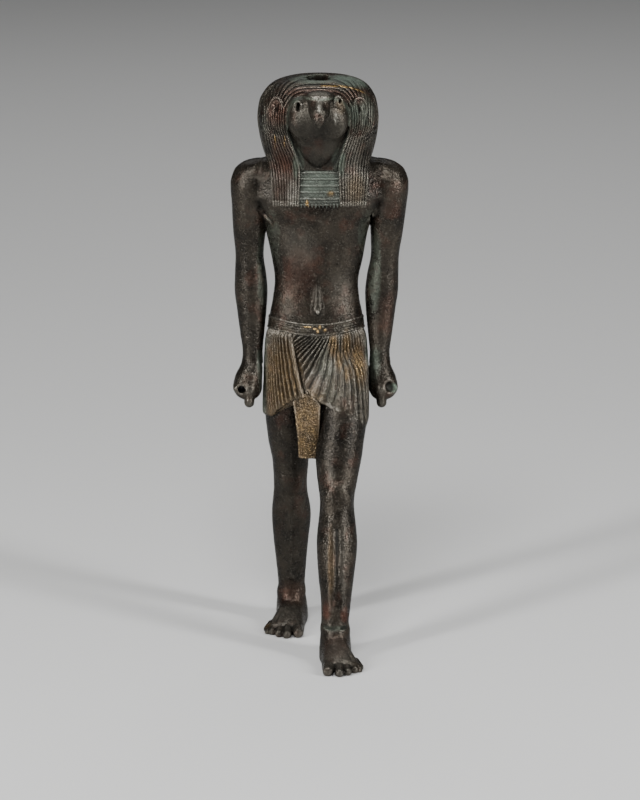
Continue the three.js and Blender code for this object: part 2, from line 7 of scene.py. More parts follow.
import bpy
import numpy as np
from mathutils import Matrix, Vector


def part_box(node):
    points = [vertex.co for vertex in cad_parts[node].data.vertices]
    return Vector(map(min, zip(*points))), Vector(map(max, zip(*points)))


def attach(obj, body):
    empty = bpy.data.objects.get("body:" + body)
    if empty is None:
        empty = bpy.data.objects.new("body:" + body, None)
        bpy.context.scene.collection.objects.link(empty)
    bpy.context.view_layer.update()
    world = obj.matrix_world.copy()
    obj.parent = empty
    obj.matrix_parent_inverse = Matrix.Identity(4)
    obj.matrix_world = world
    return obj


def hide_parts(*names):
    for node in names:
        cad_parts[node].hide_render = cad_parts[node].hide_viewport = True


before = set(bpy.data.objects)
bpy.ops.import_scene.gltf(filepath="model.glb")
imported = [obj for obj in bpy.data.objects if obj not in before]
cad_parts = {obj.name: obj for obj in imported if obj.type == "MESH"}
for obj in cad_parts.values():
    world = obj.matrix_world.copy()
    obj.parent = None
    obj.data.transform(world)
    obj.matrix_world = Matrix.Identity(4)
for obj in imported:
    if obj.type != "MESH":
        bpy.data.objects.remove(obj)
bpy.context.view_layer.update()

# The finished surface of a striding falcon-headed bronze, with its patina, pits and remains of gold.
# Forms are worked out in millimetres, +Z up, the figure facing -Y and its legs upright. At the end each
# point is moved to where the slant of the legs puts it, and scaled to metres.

Array = np.ndarray
Colour = tuple[float, float, float, float]
Spot = tuple[float, float, float]

NODE, BODY, SLOT = "figure", "root", "bronze"
TO_OUTLINE_MIDDLE = np.array([0.809, 31.992, 0.0])
MILLIMETRE = 0.001
WIG_POWER = 2.15

log = logging.getLogger("falcon figure")


class Table:
    """Stations read as smooth functions of their first column, which never overshoot a station."""

    def __init__(self, rows: list[list[float]]) -> None:
        """Keeps the stations and works out a slope at each.

        Args:
            rows: One list for each station, its key first.
        """
        grid = np.array(rows, float)
        self.keys, self.values = grid[:, 0], grid[:, 1:]
        secants = np.diff(self.values, axis=0) / np.diff(self.keys)[:, None]
        before, after = np.vstack([secants[:1], secants]), np.vstack([secants, secants[-1:]])
        total = np.where(before * after > 0, before + after, 1.0)
        self.slopes = np.where(before * after > 0, 2 * before * after / total, 0.0)

    def __call__(self, key: Array | float) -> Array:
        """The columns at a key.

        Args:
            key: One key or an array of them.

        Returns:
            One array for each column after the first, shaped as the keys.
        """
        at = np.clip(np.asarray(key, float), self.keys[0], self.keys[-1])
        i = np.clip(np.searchsorted(self.keys, at, side="right") - 1, 0, len(self.keys) - 2)
        span = self.keys[i + 1] - self.keys[i]
        t = (at - self.keys[i]) / span
        risen = (t * t * (3 - 2 * t))[..., None]
        bend = (span * t * (1 - t))[..., None]
        tilt = self.slopes[i] * (1 - t)[..., None] - self.slopes[i + 1] * t[..., None]
        low, high = self.values[i], self.values[i + 1]
        return np.moveaxis(low + (high - low) * risen + bend * tilt, -1, 0)


# By height: how far the body stands ahead of its rear foot, and how much longer that makes the legs.
SLANT = Table([[10, 0, 0], [45, 3.4, 0.8], [85, 7.4, 1.75], [120, 10.1, 2.4], [140, 10.5, 2.5]])
# The sideways place of the body's middle, by height.
SPINE = Table([
    [90, -2.35], [150, -2.35], [168, -2.1], [187, -1.5], [209, -0.8], [215, -0.8], [232, -1.5], [262, -1.2],
])
# Sections by height: z, centre x, centre y, half width, depth in front, depth behind.
TORSO = Table([
    [136, -2.35, 0.6, 20.6, 12.6, 12.8],
    [148, -2.35, 0.4, 21.2, 12.8, 12.7],
    [156.5, -2.4, 0, 19.8, 11.6, 10.8],
    [165, -2.2, 0, 19.0, 10.9, 9.9],
    [176.5, -1.8, 0, 20.8, 11.7, 10.9],
    [187.6, -2.0, 0, 22.9, 13.5, 12.7],
    [193, -1.65, 0, 24.1, 14.2, 13.4],
    [199, -1.3, 0, 26.8, 15.1, 14.4],
    [204, -1.0, 0.3, 30.2, 15.1, 14.6],
    [209, -0.8, 0.6, 32.6, 14.6, 14.6],
    [216.5, -0.8, 1.2, 32, 12.2, 12.6],
    [220.5, -0.9, 1.8, 29, 9.2, 10.4],
    [223, -1.1, 2, 21, 6.5, 8],
    [225, -1.1, 2, 13, 5, 6],
])
# The sections of the arm and the fist have their centre x counted outwards from the spine.
ARM = Table([
    [127, 29.1, -1.6, 4.9, 4.6, 4.4],
    [131.5, 29.05, -0.9, 4.6, 4.7, 4.5],
    [140, 29.2, 0.6, 5.5, 5.7, 5.5],
    [151, 29.4, 2.1, 6.75, 6.9, 6.7],
    [160.5, 29.8, 3.0, 7.55, 7.5, 7.3],
    [167, 30.1, 3.0, 7.2, 7.3, 7.2],
    [176.5, 30.8, 2.6, 6.45, 7.0, 7.2],
    [188, 31.2, 2.0, 7.4, 7.8, 8.1],
    [201, 31.5, 1.3, 8.2, 9.2, 9.4],
    [210, 31.7, 0.9, 8.7, 9.6, 9.8],
    [216.5, 31.0, 1.0, 7.6, 8.0, 8.4],
    [220, 29.4, 1.3, 5.2, 5.4, 5.8],
    [221.6, 27.4, 1.6, 2.2, 2.4, 2.6],
])
FIST = Table([
    [109.9, 30.6, -3, 2.2, 3.4, 3.4],
    [112, 31.2, -3, 5.2, 6.2, 6.0],
    [115.2, 31.4, -3, 6.6, 7.0, 6.8],
    [120, 31.0, -2.8, 6.3, 6.8, 6.5],
    [125.3, 29.7, -2.2, 5.1, 5.6, 5.4],
    [131, 29.05, -1.2, 2.6, 2.7, 2.5],
])
REAR_LEG = Table([
    [3, -14.1, 3.2, 6.2, 6.4, 7.0],
    [9, -14.15, 2.8, 6.4, 6.4, 6.8],
    [18, -13.9, 2.4, 6.25, 6.0, 6.3],
    [28, -14, 2.3, 6.9, 6.5, 7.2],
    [38.3, -14.1, 2.1, 7.9, 7.2, 8.6],
    [53, -13.9, 2, 9.05, 7.9, 10.2],
    [67.7, -14.3, 1.8, 7.7, 8.3, 8.3],
    [78, -14.2, 1.9, 8.3, 8.9, 8.5],
    [90, -15.3, 1.8, 9.3, 9.7, 9.9],
    [104, -15.8, 1.5, 10.1, 10.6, 11.2],
    [132, -14, 1, 10.4, 11.2, 12],
])
FRONT_LEG = Table([
    [3, 6.25, -52.3, 6.1, 6.4, 7.0],
    [9, 6.25, -52.0, 6.3, 6.4, 6.8],
    [16, 6.25, -50.2, 6.3, 6.4, 6.7],
    [26.6, 6.7, -47.0, 6.9, 7.0, 7.6],
    [36.8, 6.8, -43.5, 8.1, 7.7, 9.0],
    [51.5, 7.15, -38.2, 9.25, 8.5, 10.7],
    [68.5, 7.15, -31, 7.8, 8.9, 9.0],
    [79.3, 7.4, -26.6, 9.3, 9.6, 9.6],
    [91.3, 8.2, -21.4, 10.8, 10.7, 11.0],
    [106, 9.8, -15, 11.0, 11.5, 11.8],
    [134, 9.6, -2.6, 10.8, 11.6, 12],
])
HIPS = Table([
    [88, -2.3, 0.8, 20.4, 18.8, 12.5],
    [98, -2.3, 0.8, 22.2, 18.8, 13.8],
    [111, -2.3, 0.8, 23.7, 18.2, 15.2],
    [122.4, -2.4, 0.7, 23.5, 16.8, 15.8],
    [133.8, -2.4, 0.6, 23.0, 15.2, 15.6],
    [142, -2.4, 0.5, 22.2, 14.0, 14.6],
    [150, -2.4, 0.4, 21.3, 13.0, 13.0],
])
WIG_ROWS = [
    [220, -1.2, -1, 22.4, 16.2, 17.6],
    [226.5, -1.3, -1, 24.8, 18.2, 19.8],
    [234.6, -1.4, -1, 26.6, 20.0, 22.2],
    [241.5, -1.5, -0.7, 27.3, 21.2, 23.4],
    [248.5, -1.5, -0.2, 26.4, 21.2, 23.2],
    [253, -1.3, 0.4, 24.2, 19.4, 21.2],
    [256.4, -1.1, 1, 20.8, 16.4, 17.6],
    [258.6, -0.9, 1.4, 15.2, 11.8, 12.6],
    [259.6, -0.8, 1.6, 8.4, 6.4, 7],
    [260, -0.8, 1.8, 2.5, 2, 2.2],
]
WIG = Table(WIG_ROWS)
FACE = Table([
    [220.8, -1.5, -10, 2.4, 5.8, 3],
    [223.5, -1.5, -10, 5.7, 8.0, 3],
    [228, -1.5, -10, 9.3, 10.2, 4],
    [234, -1.5, -10, 12.0, 12.6, 4],
    [240, -1.5, -10, 14.2, 15.4, 4],
    [246, -1.5, -10, 14.9, 16.8, 4],
    [250, -1.5, -10, 14.6, 16.2, 4],
    [253, -1.5, -10, 13.2, 13.4, 4],
    [254.6, -1.4, -10, 10.5, 9.4, 4],
])
# Half the width of the opening that the wig leaves for the face.
FACE_OPENING = Table([[216, 5.0], [221, 6.9], [226, 9.0], [233, 11.6], [240.75, 13.8], [262, 14.3]])
# The inner and outer edge of a wig end on the chest, out from the spine, by height.
LAPPET_INNER = Table([[203.6, 9.2], [221, 8.6], [226, 9.6], [234, 12.6], [240, 14.3]])
LAPPET_OUTER = Table([[203.6, 21.2], [213, 21.9], [222, 23.0], [229, 24.8], [240, 26.5]])
# A foot by its reach forward: the shift outwards, the half width and the height.
FOOT = Table([
    [-14.6, -1.6, 3.0, 4.2],
    [-12.6, -1.5, 5.2, 8.6],
    [-8, -1.2, 6.5, 13],
    [-1, -0.4, 6.9, 14.5],
    [6, 0.7, 7.1, 12.2],
    [12.5, 2.2, 8.3, 8.6],
    [17, 3.3, 9.0, 5.4],
    [19, 3.7, 8.2, 3.2],
])
# The hem's height by turn, in degrees from the front towards the figure's left.
HEM = Table([
    [-180, 103], [-90, 102.2], [-60, 102.8], [-42, 107], [-28, 111.0], [-12, 114], [3, 113],
    [13, 109.5], [31, 101], [48, 97.5], [66, 94.8], [90, 95.5], [135, 99.5], [180, 103],
])
# Along the wrapped end, by pleat: the turn at the belt, and the turn and height where the pleat ends.
FAN = Table([
    [0, -29, -29.5, 141.8],
    [1, -19, -27, 139.8],
    [2, -8.8, -24.9, 137.9],
    [3, -4, -23, 136.2],
    [4, -0.5, -21.6, 134.4],
    [5, 3.4, -19.6, 132.1],
    [6, 7.6, -16.2, 129.6],
    [7, 11.2, -13.2, 125.6],
    [8, 15.0, -11.2, 120.6],
    [9, 18.8, -3.2, 114.1],
    [10, 22.7, 5.0, 112.4],
    [11, 26.6, 10.9, 110.4],
    [12, 30.8, 16.5, 108.0],
    [13, 35.2, 22.3, 105.2],
    [14, 39.7, 28.3, 102.3],
    [15, 44.7, 34.8, 99.9],
    [16, 50, 41.7, 98.5],
    [17, 56, 49.6, 97.2],
    [18, 63, 58.9, 95.7],
    [19, 69, 67, 94.8],
    [20, 75, 75, 94.9],
    [23, 95, 95, 95.8],
])


def mix(low: Array | float, high: Array | float, share: Array | float) -> Array:
    """The value a share of the way from low to high."""
    return low + (high - low) * share


def ease(value: Array | float, low: float, high: float) -> Array:
    """A smooth step from 0 at low to 1 at high."""
    share = np.clip((np.asarray(value, float) - low) / (high - low), 0, 1)
    return share * share * (3 - 2 * share)


def spine(z: Array | float) -> Array:
    """The sideways place of the body's middle at a height."""
    return SPINE(z)[0]


def ridge(phase: Array, sharp: float = 0.55) -> Array:
    """Rounded ridges between narrow grooves, one for each whole number: 0 in a groove, 1 on a ridge."""
    off = np.abs(phase - np.floor(phase) - 0.5) * 2
    return np.clip(1 - off ** 2, 0, 1) ** sharp


def melted(one: Array, other: Array, melt: float) -> Array:
    """The smaller of two distances, with the valley between them filled.

    Args:
        one: The first distance.
        other: The second distance.
        melt: How wide the filling is, in millimetres.

    Returns:
        The joined distance.
    """
    if melt <= 0:
        return np.minimum(one, other)
    near = np.maximum(melt - np.abs(one - other), 0) / melt
    return np.minimum(one, other) - near * near * melt / 4


def turned(lean: float, yaw: float) -> Array:
    """A rotation that leans a form sideways and then turns it about the upright.

    Args:
        lean: Degrees about Y.
        yaw: Degrees about Z.

    Returns:
        A 3 by 3 matrix from the form's own axes to the figure's.
    """
    a, b = math.radians(lean), math.radians(yaw)
    about_y = np.array([[math.cos(a), 0, math.sin(a)], [0, 1, 0], [-math.sin(a), 0, math.cos(a)]])
    about_z = np.array([[math.cos(b), -math.sin(b), 0], [math.sin(b), math.cos(b), 0], [0, 0, 1]])
    return about_z @ about_y


def clouds(points: Array, size: float, seed: int) -> Array:
    """Soft noise between -1 and 1.

    Args:
        points: Where it is read.
        size: The width of its blobs.
        seed: Picks the pattern.

    Returns:
        One value for each point.
    """
    maker = np.random.default_rng(seed)
    total = np.zeros(len(points))
    for _ in range(9):
        way = maker.normal(size=3)
        way *= 2 * math.pi / size * maker.uniform(0.5, 1.4) / np.linalg.norm(way)
        total += np.sin(points @ way + maker.uniform(0, 2 * math.pi))
    return np.clip(total / 4.5, -1, 1)


class Form:
    """A rounded form: a box that holds it, and the distance of any place to its surface."""

    def box(self) -> tuple[Array, Array]:
        """The lowest and highest corner of a box round it."""
        raise NotImplementedError

    def __call__(self, x: Array, y: Array, z: Array) -> Array:
        """The distance to its surface, less than zero inside."""
        raise NotImplementedError


@dataclass(frozen=True)
class Ball(Form):
    """An ellipsoid, turned by a matrix."""

    centre: Spot
    radii: Spot
    turn: Array = field(default_factory=lambda: np.eye(3))

    def local(self, x: Array, y: Array, z: Array) -> list[Array]:
        """A place in the ball's own axes."""
        off = (x - self.centre[0], y - self.centre[1], z - self.centre[2])
        return [sum(self.turn[k, axis] * off[k] for k in range(3)) for axis in range(3)]

    def box(self) -> tuple[Array, Array]:
        """The lowest and highest corner of a box round it."""
        reach = np.full(3, max(self.radii))
        return np.array(self.centre) - reach, np.array(self.centre) + reach

    def __call__(self, x: Array, y: Array, z: Array) -> Array:
        """The distance to its surface, less than zero inside."""
        parts = self.local(x, y, z)
        near = np.sqrt(sum((part / radius) ** 2 for part, radius in zip(parts, self.radii)))
        steep = np.sqrt(sum((part / radius ** 2) ** 2 for part, radius in zip(parts, self.radii)))
        return near * (near - 1) / np.maximum(steep, 1e-6)


@dataclass(frozen=True)
class Ring(Ball):
    """An oval ring: the radii are its half width, its thickness and its half height."""

    def __call__(self, x: Array, y: Array, z: Array) -> Array:
        """The distance to its surface, less than zero inside."""
        across, out, along = self.local(x, y, z)
        wide, thick, tall = self.radii
        off = (np.hypot(across / wide, along / tall) - 1) * min(wide, tall)
        return np.hypot(off, out) - thick


@dataclass(frozen=True)
class Rod(Form):
    """A tapering rod with round ends."""

    start: Spot
    end: Spot
    start_radius: float
    end_radius: float

    def box(self) -> tuple[Array, Array]:
        """The lowest and highest corner of a box round it."""
        ends = np.array([self.start, self.end])
        thick = max(self.start_radius, self.end_radius)
        return ends.min(0) - thick, ends.max(0) + thick

    def __call__(self, x: Array, y: Array, z: Array) -> Array:
        """The distance to its surface, less than zero inside."""
        start, axis = np.array(self.start, float), np.subtract(self.end, self.start)
        off = (x - start[0], y - start[1], z - start[2])
        share = np.clip(sum(off[k] * axis[k] for k in range(3)) / (axis @ axis), 0, 1)
        away = np.sqrt(sum((off[k] - share * axis[k]) ** 2 for k in range(3)))
        return away - mix(self.start_radius, self.end_radius, share)


@dataclass(frozen=True)
class Loft(Form):
    """A form given by its sections at heights, each an ellipse or a squarer rounded shape."""

    table: Table
    power: float = 2.0
    side: int = 0

    def centre(self, z: Array | float, shift: Array) -> Array:
        """The sideways place of a section, from the spine where the form lies to one side."""
        return spine(z) + self.side * shift if self.side else shift

    def box(self) -> tuple[Array, Array]:
        """The lowest and highest corner of a box round it."""
        keys, columns = self.table.keys, self.table.values
        centre = self.centre(keys, columns[:, 0])
        low = [(centre - columns[:, 2]).min(), (columns[:, 1] - columns[:, 3]).min(), keys[0]]
        high = [(centre + columns[:, 2]).max(), (columns[:, 1] + columns[:, 4]).max(), keys[-1]]
        return np.array(low), np.array(high)

    def __call__(self, x: Array, y: Array, z: Array) -> Array:
        """The distance to its surface, less than zero inside."""
        shift, middle, wide, front, back = self.table(z)
        across = np.abs(x - self.centre(z, shift)) / wide
        deep = np.where(y < middle, front, back)
        near = (across ** self.power + np.abs((y - middle) / deep) ** self.power) ** (1 / self.power)
        ends = np.maximum(self.table.keys[0] - z, z - self.table.keys[-1])
        return np.maximum((near - 1) * np.minimum(wide, deep), ends)


@dataclass(frozen=True)
class FaceOpening(Form):
    """The arched opening that the wig leaves for the face, as deep as its rim."""

    middle: float = -1.4
    rim_back: float = -15.5
    rim_shallow: float = 0.6
    power: float = 3.2
    springing: float = 240.0
    rise: float = 14.9

    def nearness(self, x: Array, z: Array) -> Array:
        """1 on the arch, less inside it, and more on the arches round it."""
        across = np.abs(x - self.middle) / FACE_OPENING(z)[0]
        up = np.maximum(z - self.springing, 0) / self.rise
        return (across ** self.power + up ** self.power) ** (1 / self.power)

    def box(self) -> tuple[Array, Array]:
        """The lowest and highest corner of a box round it."""
        return np.array([-16.0, -27.0, 217.0]), np.array([13.5, self.rim_back, 255.5])

    def __call__(self, x: Array, y: Array, z: Array) -> Array:
        """The distance to its surface, less than zero inside."""
        off = (self.nearness(x, z) - 1) * np.minimum(FACE_OPENING(z)[0], 14)
        return np.maximum(off, y - self.rim_back + self.rim_shallow * (1 - ease(z, 228, 243)))


@dataclass(frozen=True)
class FootForm(Form):
    """A foot from heel to toe root: sections across it, each with a flat sole."""

    ankle_x: float
    ankle_y: float
    side: int
    heel_turn: float

    def box(self) -> tuple[Array, Array]:
        """The lowest and highest corner of a box round it."""
        low = np.array([self.ankle_x - 14, self.ankle_y - 20, -1.0])
        return low, np.array([self.ankle_x + 14, self.ankle_y + 16, 16.0])

    def middle(self, forward: Array | float) -> Array:
        """The sideways place of the foot's middle at a reach forward from the ankle."""
        out = FOOT(forward)[0]
        return self.ankle_x + self.side * np.where(out < 0, out * self.heel_turn, out)

    def __call__(self, x: Array, y: Array, z: Array) -> Array:
        """The distance to its surface, less than zero inside."""
        forward = self.ankle_y - y
        _, wide, high = FOOT(forward)
        across = np.abs(x - self.middle(forward)) / wide
        near = (across ** 2.3 + (np.maximum(z, 0) / high) ** 2.3) ** (1 / 2.3)
        ends = np.maximum(FOOT.keys[0] - forward, forward - FOOT.keys[-1])
        return -melted(-(near - 1) * np.minimum(wide, high), -ends, 1.5)


@dataclass
class Surface:
    """Points, groups of faces and the values kept at each point."""

    points: Array
    faces: list[Array]
    values: dict[str, Array] = field(default_factory=dict)

    def outward(self) -> "Surface":
        """Turns every face round if the closed surface is inside out.

        Returns:
            The same surface.
        """
        total = 0.0
        for group in self.faces:
            first = self.points[group[:, 0]]
            for k in range(1, group.shape[1] - 1):
                turn = np.cross(self.points[group[:, k]], self.points[group[:, k + 1]])
                total += np.einsum("ij,ij->", first, turn)
        if total < 0:
            self.faces = [group[:, ::-1] for group in self.faces]
        return self

    def __add__(self, other: "Surface") -> "Surface":
        """Both surfaces as one."""
        faces = self.faces + [group + len(self.points) for group in other.faces]
        return Surface(np.vstack([self.points, other.points]), faces)

    def normals(self) -> Array:
        """The direction out of the surface at each point."""
        total = np.zeros_like(self.points)
        for group in self.faces:
            corners = self.points[group]
            is_quad = group.shape[1] == 4
            first = corners[:, 2 if is_quad else 1] - corners[:, 0]
            last = corners[:, -1] - corners[:, 1 if is_quad else 0]
            out = np.cross(first, last)
            for k in range(group.shape[1]):
                for axis in range(3):
                    total[:, axis] += np.bincount(group[:, k], out[:, axis], len(total))
        return total / np.maximum(np.linalg.norm(total, axis=1), 1e-9)[:, None]

    def hollows(self, rounds: int) -> Array:
        """How deep each point lies in a hollow, in millimetres, less than zero on a ridge.

        Args:
            rounds: How many neighbours away a hollow is felt.

        Returns:
            One value for each point.
        """
        edges = np.vstack([
            np.stack([group[:, k], group[:, (k + 1) % group.shape[1]]], 1)
            for group in self.faces for k in range(group.shape[1])
        ])
        size = len(self.points)
        count = np.maximum(np.bincount(edges[:, 0], minlength=size), 1)
        smooth = self.points
        for _ in range(rounds):
            sums = [np.bincount(edges[:, 0], smooth[edges[:, 1], axis], size) for axis in range(3)]
            smooth = np.stack(sums, 1) / count[:, None]
        return np.einsum("ij,ij->i", smooth - self.points, self.normals())


class Block:
    """A block of space on a grid, in which rounded forms are melted together and then skinned."""

    def __init__(self, low: Spot, high: Spot, step: float) -> None:
        """Starts an empty block.

        Args:
            low: Its lowest corner.
            high: Its highest corner.
            step: The grid's step.
        """
        self.low, self.step = np.array(low, float), step
        count = np.ceil((np.array(high) - self.low) / step).astype(int) + 1
        self.field = np.full(count, 6.0)

    def part(self, form: Form, room: float) -> tuple[tuple[slice, ...], list[Array]]:
        """The part of the grid round a form.

        Args:
            form: The form.
            room: How far the part reaches beyond the form's box.

        Returns:
            Its slices, and its x, y and z places ready to be combined.
        """
        low, high = form.box()
        first = np.maximum(np.floor((low - room - self.low) / self.step).astype(int), 0)
        last = np.minimum(np.ceil((high + room - self.low) / self.step).astype(int) + 1, self.field.shape)
        where = tuple(slice(a, b) for a, b in zip(first, last))
        places = np.ix_(*(self.low[k] + self.step * np.arange(first[k], last[k]) for k in range(3)))
        return where, list(places)

    def add(self, form: Form, melt: float = 0.0) -> "Block":
        """Joins a form to what is there, melting them together over a width."""
        where, places = self.part(form, 6.0)
        self.field[where] = melted(self.field[where], form(*places), melt)
        return self

    def cut(self, form: Form, melt: float = 0.0) -> "Block":
        """Takes a form away, rounding the rim over a width."""
        where, places = self.part(form, 2.0 + melt)
        self.field[where] = -melted(-self.field[where], form(*places), melt)
        return self

    def above(self, height: float) -> "Block":
        """Cuts everything off flat below a height."""
        levels = self.low[2] + self.step * np.arange(self.field.shape[2])
        self.field = np.maximum(self.field, height - levels)
        return self

    def below(self, height: float) -> "Block":
        """Cuts everything off flat above a height."""
        levels = self.low[2] + self.step * np.arange(self.field.shape[2])
        self.field = np.maximum(self.field, levels - height)
        return self

    def front(self, x: float, z: float) -> float:
        """How far forward the surface reaches at a place seen from in front."""
        across, up = int((x - self.low[0]) / self.step + 0.5), int((z - self.low[2]) / self.step + 0.5)
        return float(self.low[1] + self.step * np.argmax(self.field[across, :, up] < 0))

    def sample(self, points: Array) -> Array:
        """The field at any points, read between those of the grid."""
        place = (points - self.low) / self.step
        base = np.clip(np.floor(place).astype(int), 0, np.array(self.field.shape) - 2)
        share = place - base
        total = np.zeros(len(points))
        for corner in np.ndindex(2, 2, 2):
            weight = np.prod(np.where(corner, share, 1 - share), axis=1)
            total += weight * self.field[tuple((base + corner).T)]
        return total

    def skin(self) -> Surface:
        """The surface on which the field is zero, with one point in each grid cell that it crosses.

        Returns:
            A closed surface of quads.
        """
        inside = self.field < 0
        shape = np.array(self.field.shape) - 1
        units = np.eye(3, dtype=int)
        count = np.zeros(shape, np.int8)
        for corner in np.ndindex(2, 2, 2):
            count += inside[tuple(slice(c, c + n) for c, n in zip(corner, shape))]
        cells = np.argwhere((count > 0) & (count < 8))
        index = np.full(shape, -1)
        index[tuple(cells.T)] = np.arange(len(cells))
        total, crossings = np.zeros((len(cells), 3)), np.zeros(len(cells))
        faces = []
        for axis in range(3):
            along, u, v = units[axis], units[(axis + 1) % 3], units[(axis + 2) % 3]
            for a, b in np.ndindex(2, 2):
                start = cells + a * u + b * v
                here, there = self.field[tuple(start.T)], self.field[tuple((start + along).T)]
                hit = (here < 0) != (there < 0)
                share = here[hit] / (here[hit] - there[hit])
                total[hit] += start[hit] + share[:, None] * along
                crossings[hit] += 1
            near, far = [slice(None)] * 3, [slice(None)] * 3
            near[axis], far[axis] = slice(None, -1), slice(1, None)
            spots = np.argwhere(inside[tuple(near)] != inside[tuple(far)])
            whole = ((spots - u - v >= 0) & (spots < shape)).all(1)
            spots = spots[whole]
            quads = np.stack([index[tuple((spots - shift).T)] for shift in (0 * u, u, u + v, v)], 1)
            leaving = inside[tuple(spots.T)][:, None]
            faces.append(np.where(leaving, quads, quads[:, ::-1]))
        points = self.low + self.step * total / crossings[:, None]
        return self.settle(Surface(points, [np.vstack(faces)])).outward()

    def settle(self, surface: Surface) -> Surface:
        """Moves each point along the field's slope to where the field is zero."""
        half = self.step * 0.5
        here = self.sample(surface.points)
        ahead = np.stack([self.sample(surface.points + half * unit) for unit in np.eye(3)], 1)
        behind = np.stack([self.sample(surface.points - half * unit) for unit in np.eye(3)], 1)
        slope = (ahead - behind) / (2 * half)
        steep = np.maximum((slope * slope).sum(1), 0.2)
        surface.points = surface.points - np.clip(here / steep, -half, half)[:, None] * slope
        return surface


def slab(columns: int, rows: int, place: Callable[[Array, Array, float], Array]) -> Surface:
    """A closed slab: a face and a back of the same grid, joined round their edges.

    Args:
        columns: Steps across.
        rows: Steps up.
        place: Gives the points for arrays of across and up, and for out, 1 on the face and 0 on the back.

    Returns:
        The closed surface.
    """
    grid = np.meshgrid(np.linspace(0, 1, columns + 1), np.linspace(0, 1, rows + 1), indexing="ij")
    across, up = (values.ravel() for values in grid)
    size = len(across)
    index = np.arange(size).reshape(columns + 1, rows + 1)
    quads = np.stack([index[:-1, :-1], index[1:, :-1], index[1:, 1:], index[:-1, 1:]], -1).reshape(-1, 4)
    rim = np.concatenate([index[:-1, 0], index[-1, :-1], index[:0:-1, -1], index[0, :0:-1]])
    after = np.roll(rim, -1)
    edge = np.stack([rim, rim + size, after + size, after], 1)
    faces = np.vstack([quads, quads[:, ::-1] + size, edge])
    points = np.vstack([place(across, up, 1.0), place(across, up, 0.0)])
    return Surface(points, [faces]).outward()


def hoop(rings: Array, low: Array, high: Array) -> Surface:
    """A closed round body: rings from the lower to the upper end, and a point at each end.

    Args:
        rings: The points, as rings by sides by three.
        low: The point that closes the lower end.
        high: The point that closes the upper end.

    Returns:
        The closed surface.
    """
    count, sides, _ = rings.shape
    index = np.arange(count * sides).reshape(count, sides)
    after = np.roll(index, -1, axis=1)
    quads = np.stack([index[:-1], after[:-1], after[1:], index[1:]], -1).reshape(-1, 4)
    end = count * sides
    lower = np.stack([after[0], index[0], np.full(sides, end)], 1)
    upper = np.stack([index[-1], after[-1], np.full(sides, end + 1)], 1)
    points = np.vstack([rings.reshape(-1, 3), low[None], high[None]])
    return Surface(points, [quads, np.vstack([lower, upper])]).outward()


class Wire:
    """A socket of a node tree, on which sums can be written."""

    def __init__(self, graph: "Graph", socket: bpy.types.NodeSocket) -> None:
        """Keeps the tree and the socket."""
        self.graph, self.socket = graph, socket

    def maths(self, operation: str, *values: "Wire | float") -> "Wire":
        """A Math node on these values."""
        return self.graph.node("ShaderNodeMath", {"operation": operation}, dict(enumerate(values)))

    def __add__(self, other: "Wire | float") -> "Wire":
        """The sum."""
        return self.maths("ADD", self, other)

    __radd__ = __add__

    def __mul__(self, other: "Wire | float") -> "Wire":
        """The product."""
        return self.maths("MULTIPLY", self, other)

    __rmul__ = __mul__

    def __sub__(self, other: "Wire | float") -> "Wire":
        """The difference."""
        return self.maths("SUBTRACT", self, other)

    def __rsub__(self, other: "Wire | float") -> "Wire":
        """The difference, the other way round."""
        return self.maths("SUBTRACT", other, self)

    def held(self) -> "Wire":
        """The value kept between 0 and 1."""
        return self.graph.node("ShaderNodeClamp", {}, {"Value": self})

    def above(self, low: float, high: float) -> "Wire":
        """A smooth step from 0 at low to 1 at high."""
        inputs = {"Value": self, "From Min": low, "From Max": high}
        return self.graph.node("ShaderNodeMapRange", {"interpolation_type": "SMOOTHSTEP"}, inputs)


class Graph:
    """A node tree that is being built."""

    def __init__(self, tree: bpy.types.NodeTree) -> None:
        """Starts from an empty tree."""
        self.tree = tree
        tree.nodes.clear()

    def node(self, kind: str, settings: dict, inputs: dict, output: str | int = 0) -> Wire:
        """Adds a node.

        Args:
            kind: The node's type.
            settings: Its own properties, set first.
            inputs: Values or wires for its sockets, by name or number.
            output: The socket that is handed back.

        Returns:
            A wire on that socket, or on the first input of a node without outputs.
        """
        made = self.tree.nodes.new(kind)
        for name, value in settings.items():
            setattr(made, name, value)
        for name, value in inputs.items():
            if isinstance(value, Wire):
                self.tree.links.new(value.socket, made.inputs[name])
            else:
                made.inputs[name].default_value = value
        return Wire(self, made.outputs[output] if made.outputs else made.inputs[0])

    def value(self, name: str) -> Wire:
        """A value kept at the mesh's points."""
        return self.node("ShaderNodeAttribute", {"attribute_name": name}, {}, "Fac")

    def blend(self, share: Wire | float, low: Wire | Colour, high: Wire | Colour) -> Wire:
        """Two colours mixed."""
        return self.node("ShaderNodeMix", {"data_type": "RGBA"}, {0: share, 6: low, 7: high}, 2)

    def cloud(self, spot: Wire, size: float, detail: float = 3.0, rough: float = 0.55) -> Wire:
        """Noise around 0.5 with blobs of a size in millimetres."""
        inputs = {"Vector": spot, "Scale": 1 / size, "Detail": detail, "Roughness": rough}
        return self.node("ShaderNodeTexNoise", {}, inputs, 0)


def colour(red: float, green: float, blue: float) -> Colour:
    """A colour as light, from the 0 to 255 values of a screen."""
    shares = (value / 255 for value in (red, green, blue))
    return *(s / 12.92 if s <= 0.04045 else ((s + 0.055) / 1.055) ** 2.4 for s in shares), 1.0


class SurfaceMark(Enum):
    """The kinds of mark: stains, gilding, pale wear with painted highlights, and painted shade."""

    GOLD = "gold"
    GREEN = "green"
    RED = "red"
    WEAR_AND_HIGHLIGHT = "grey"
    DARK = "hollow"


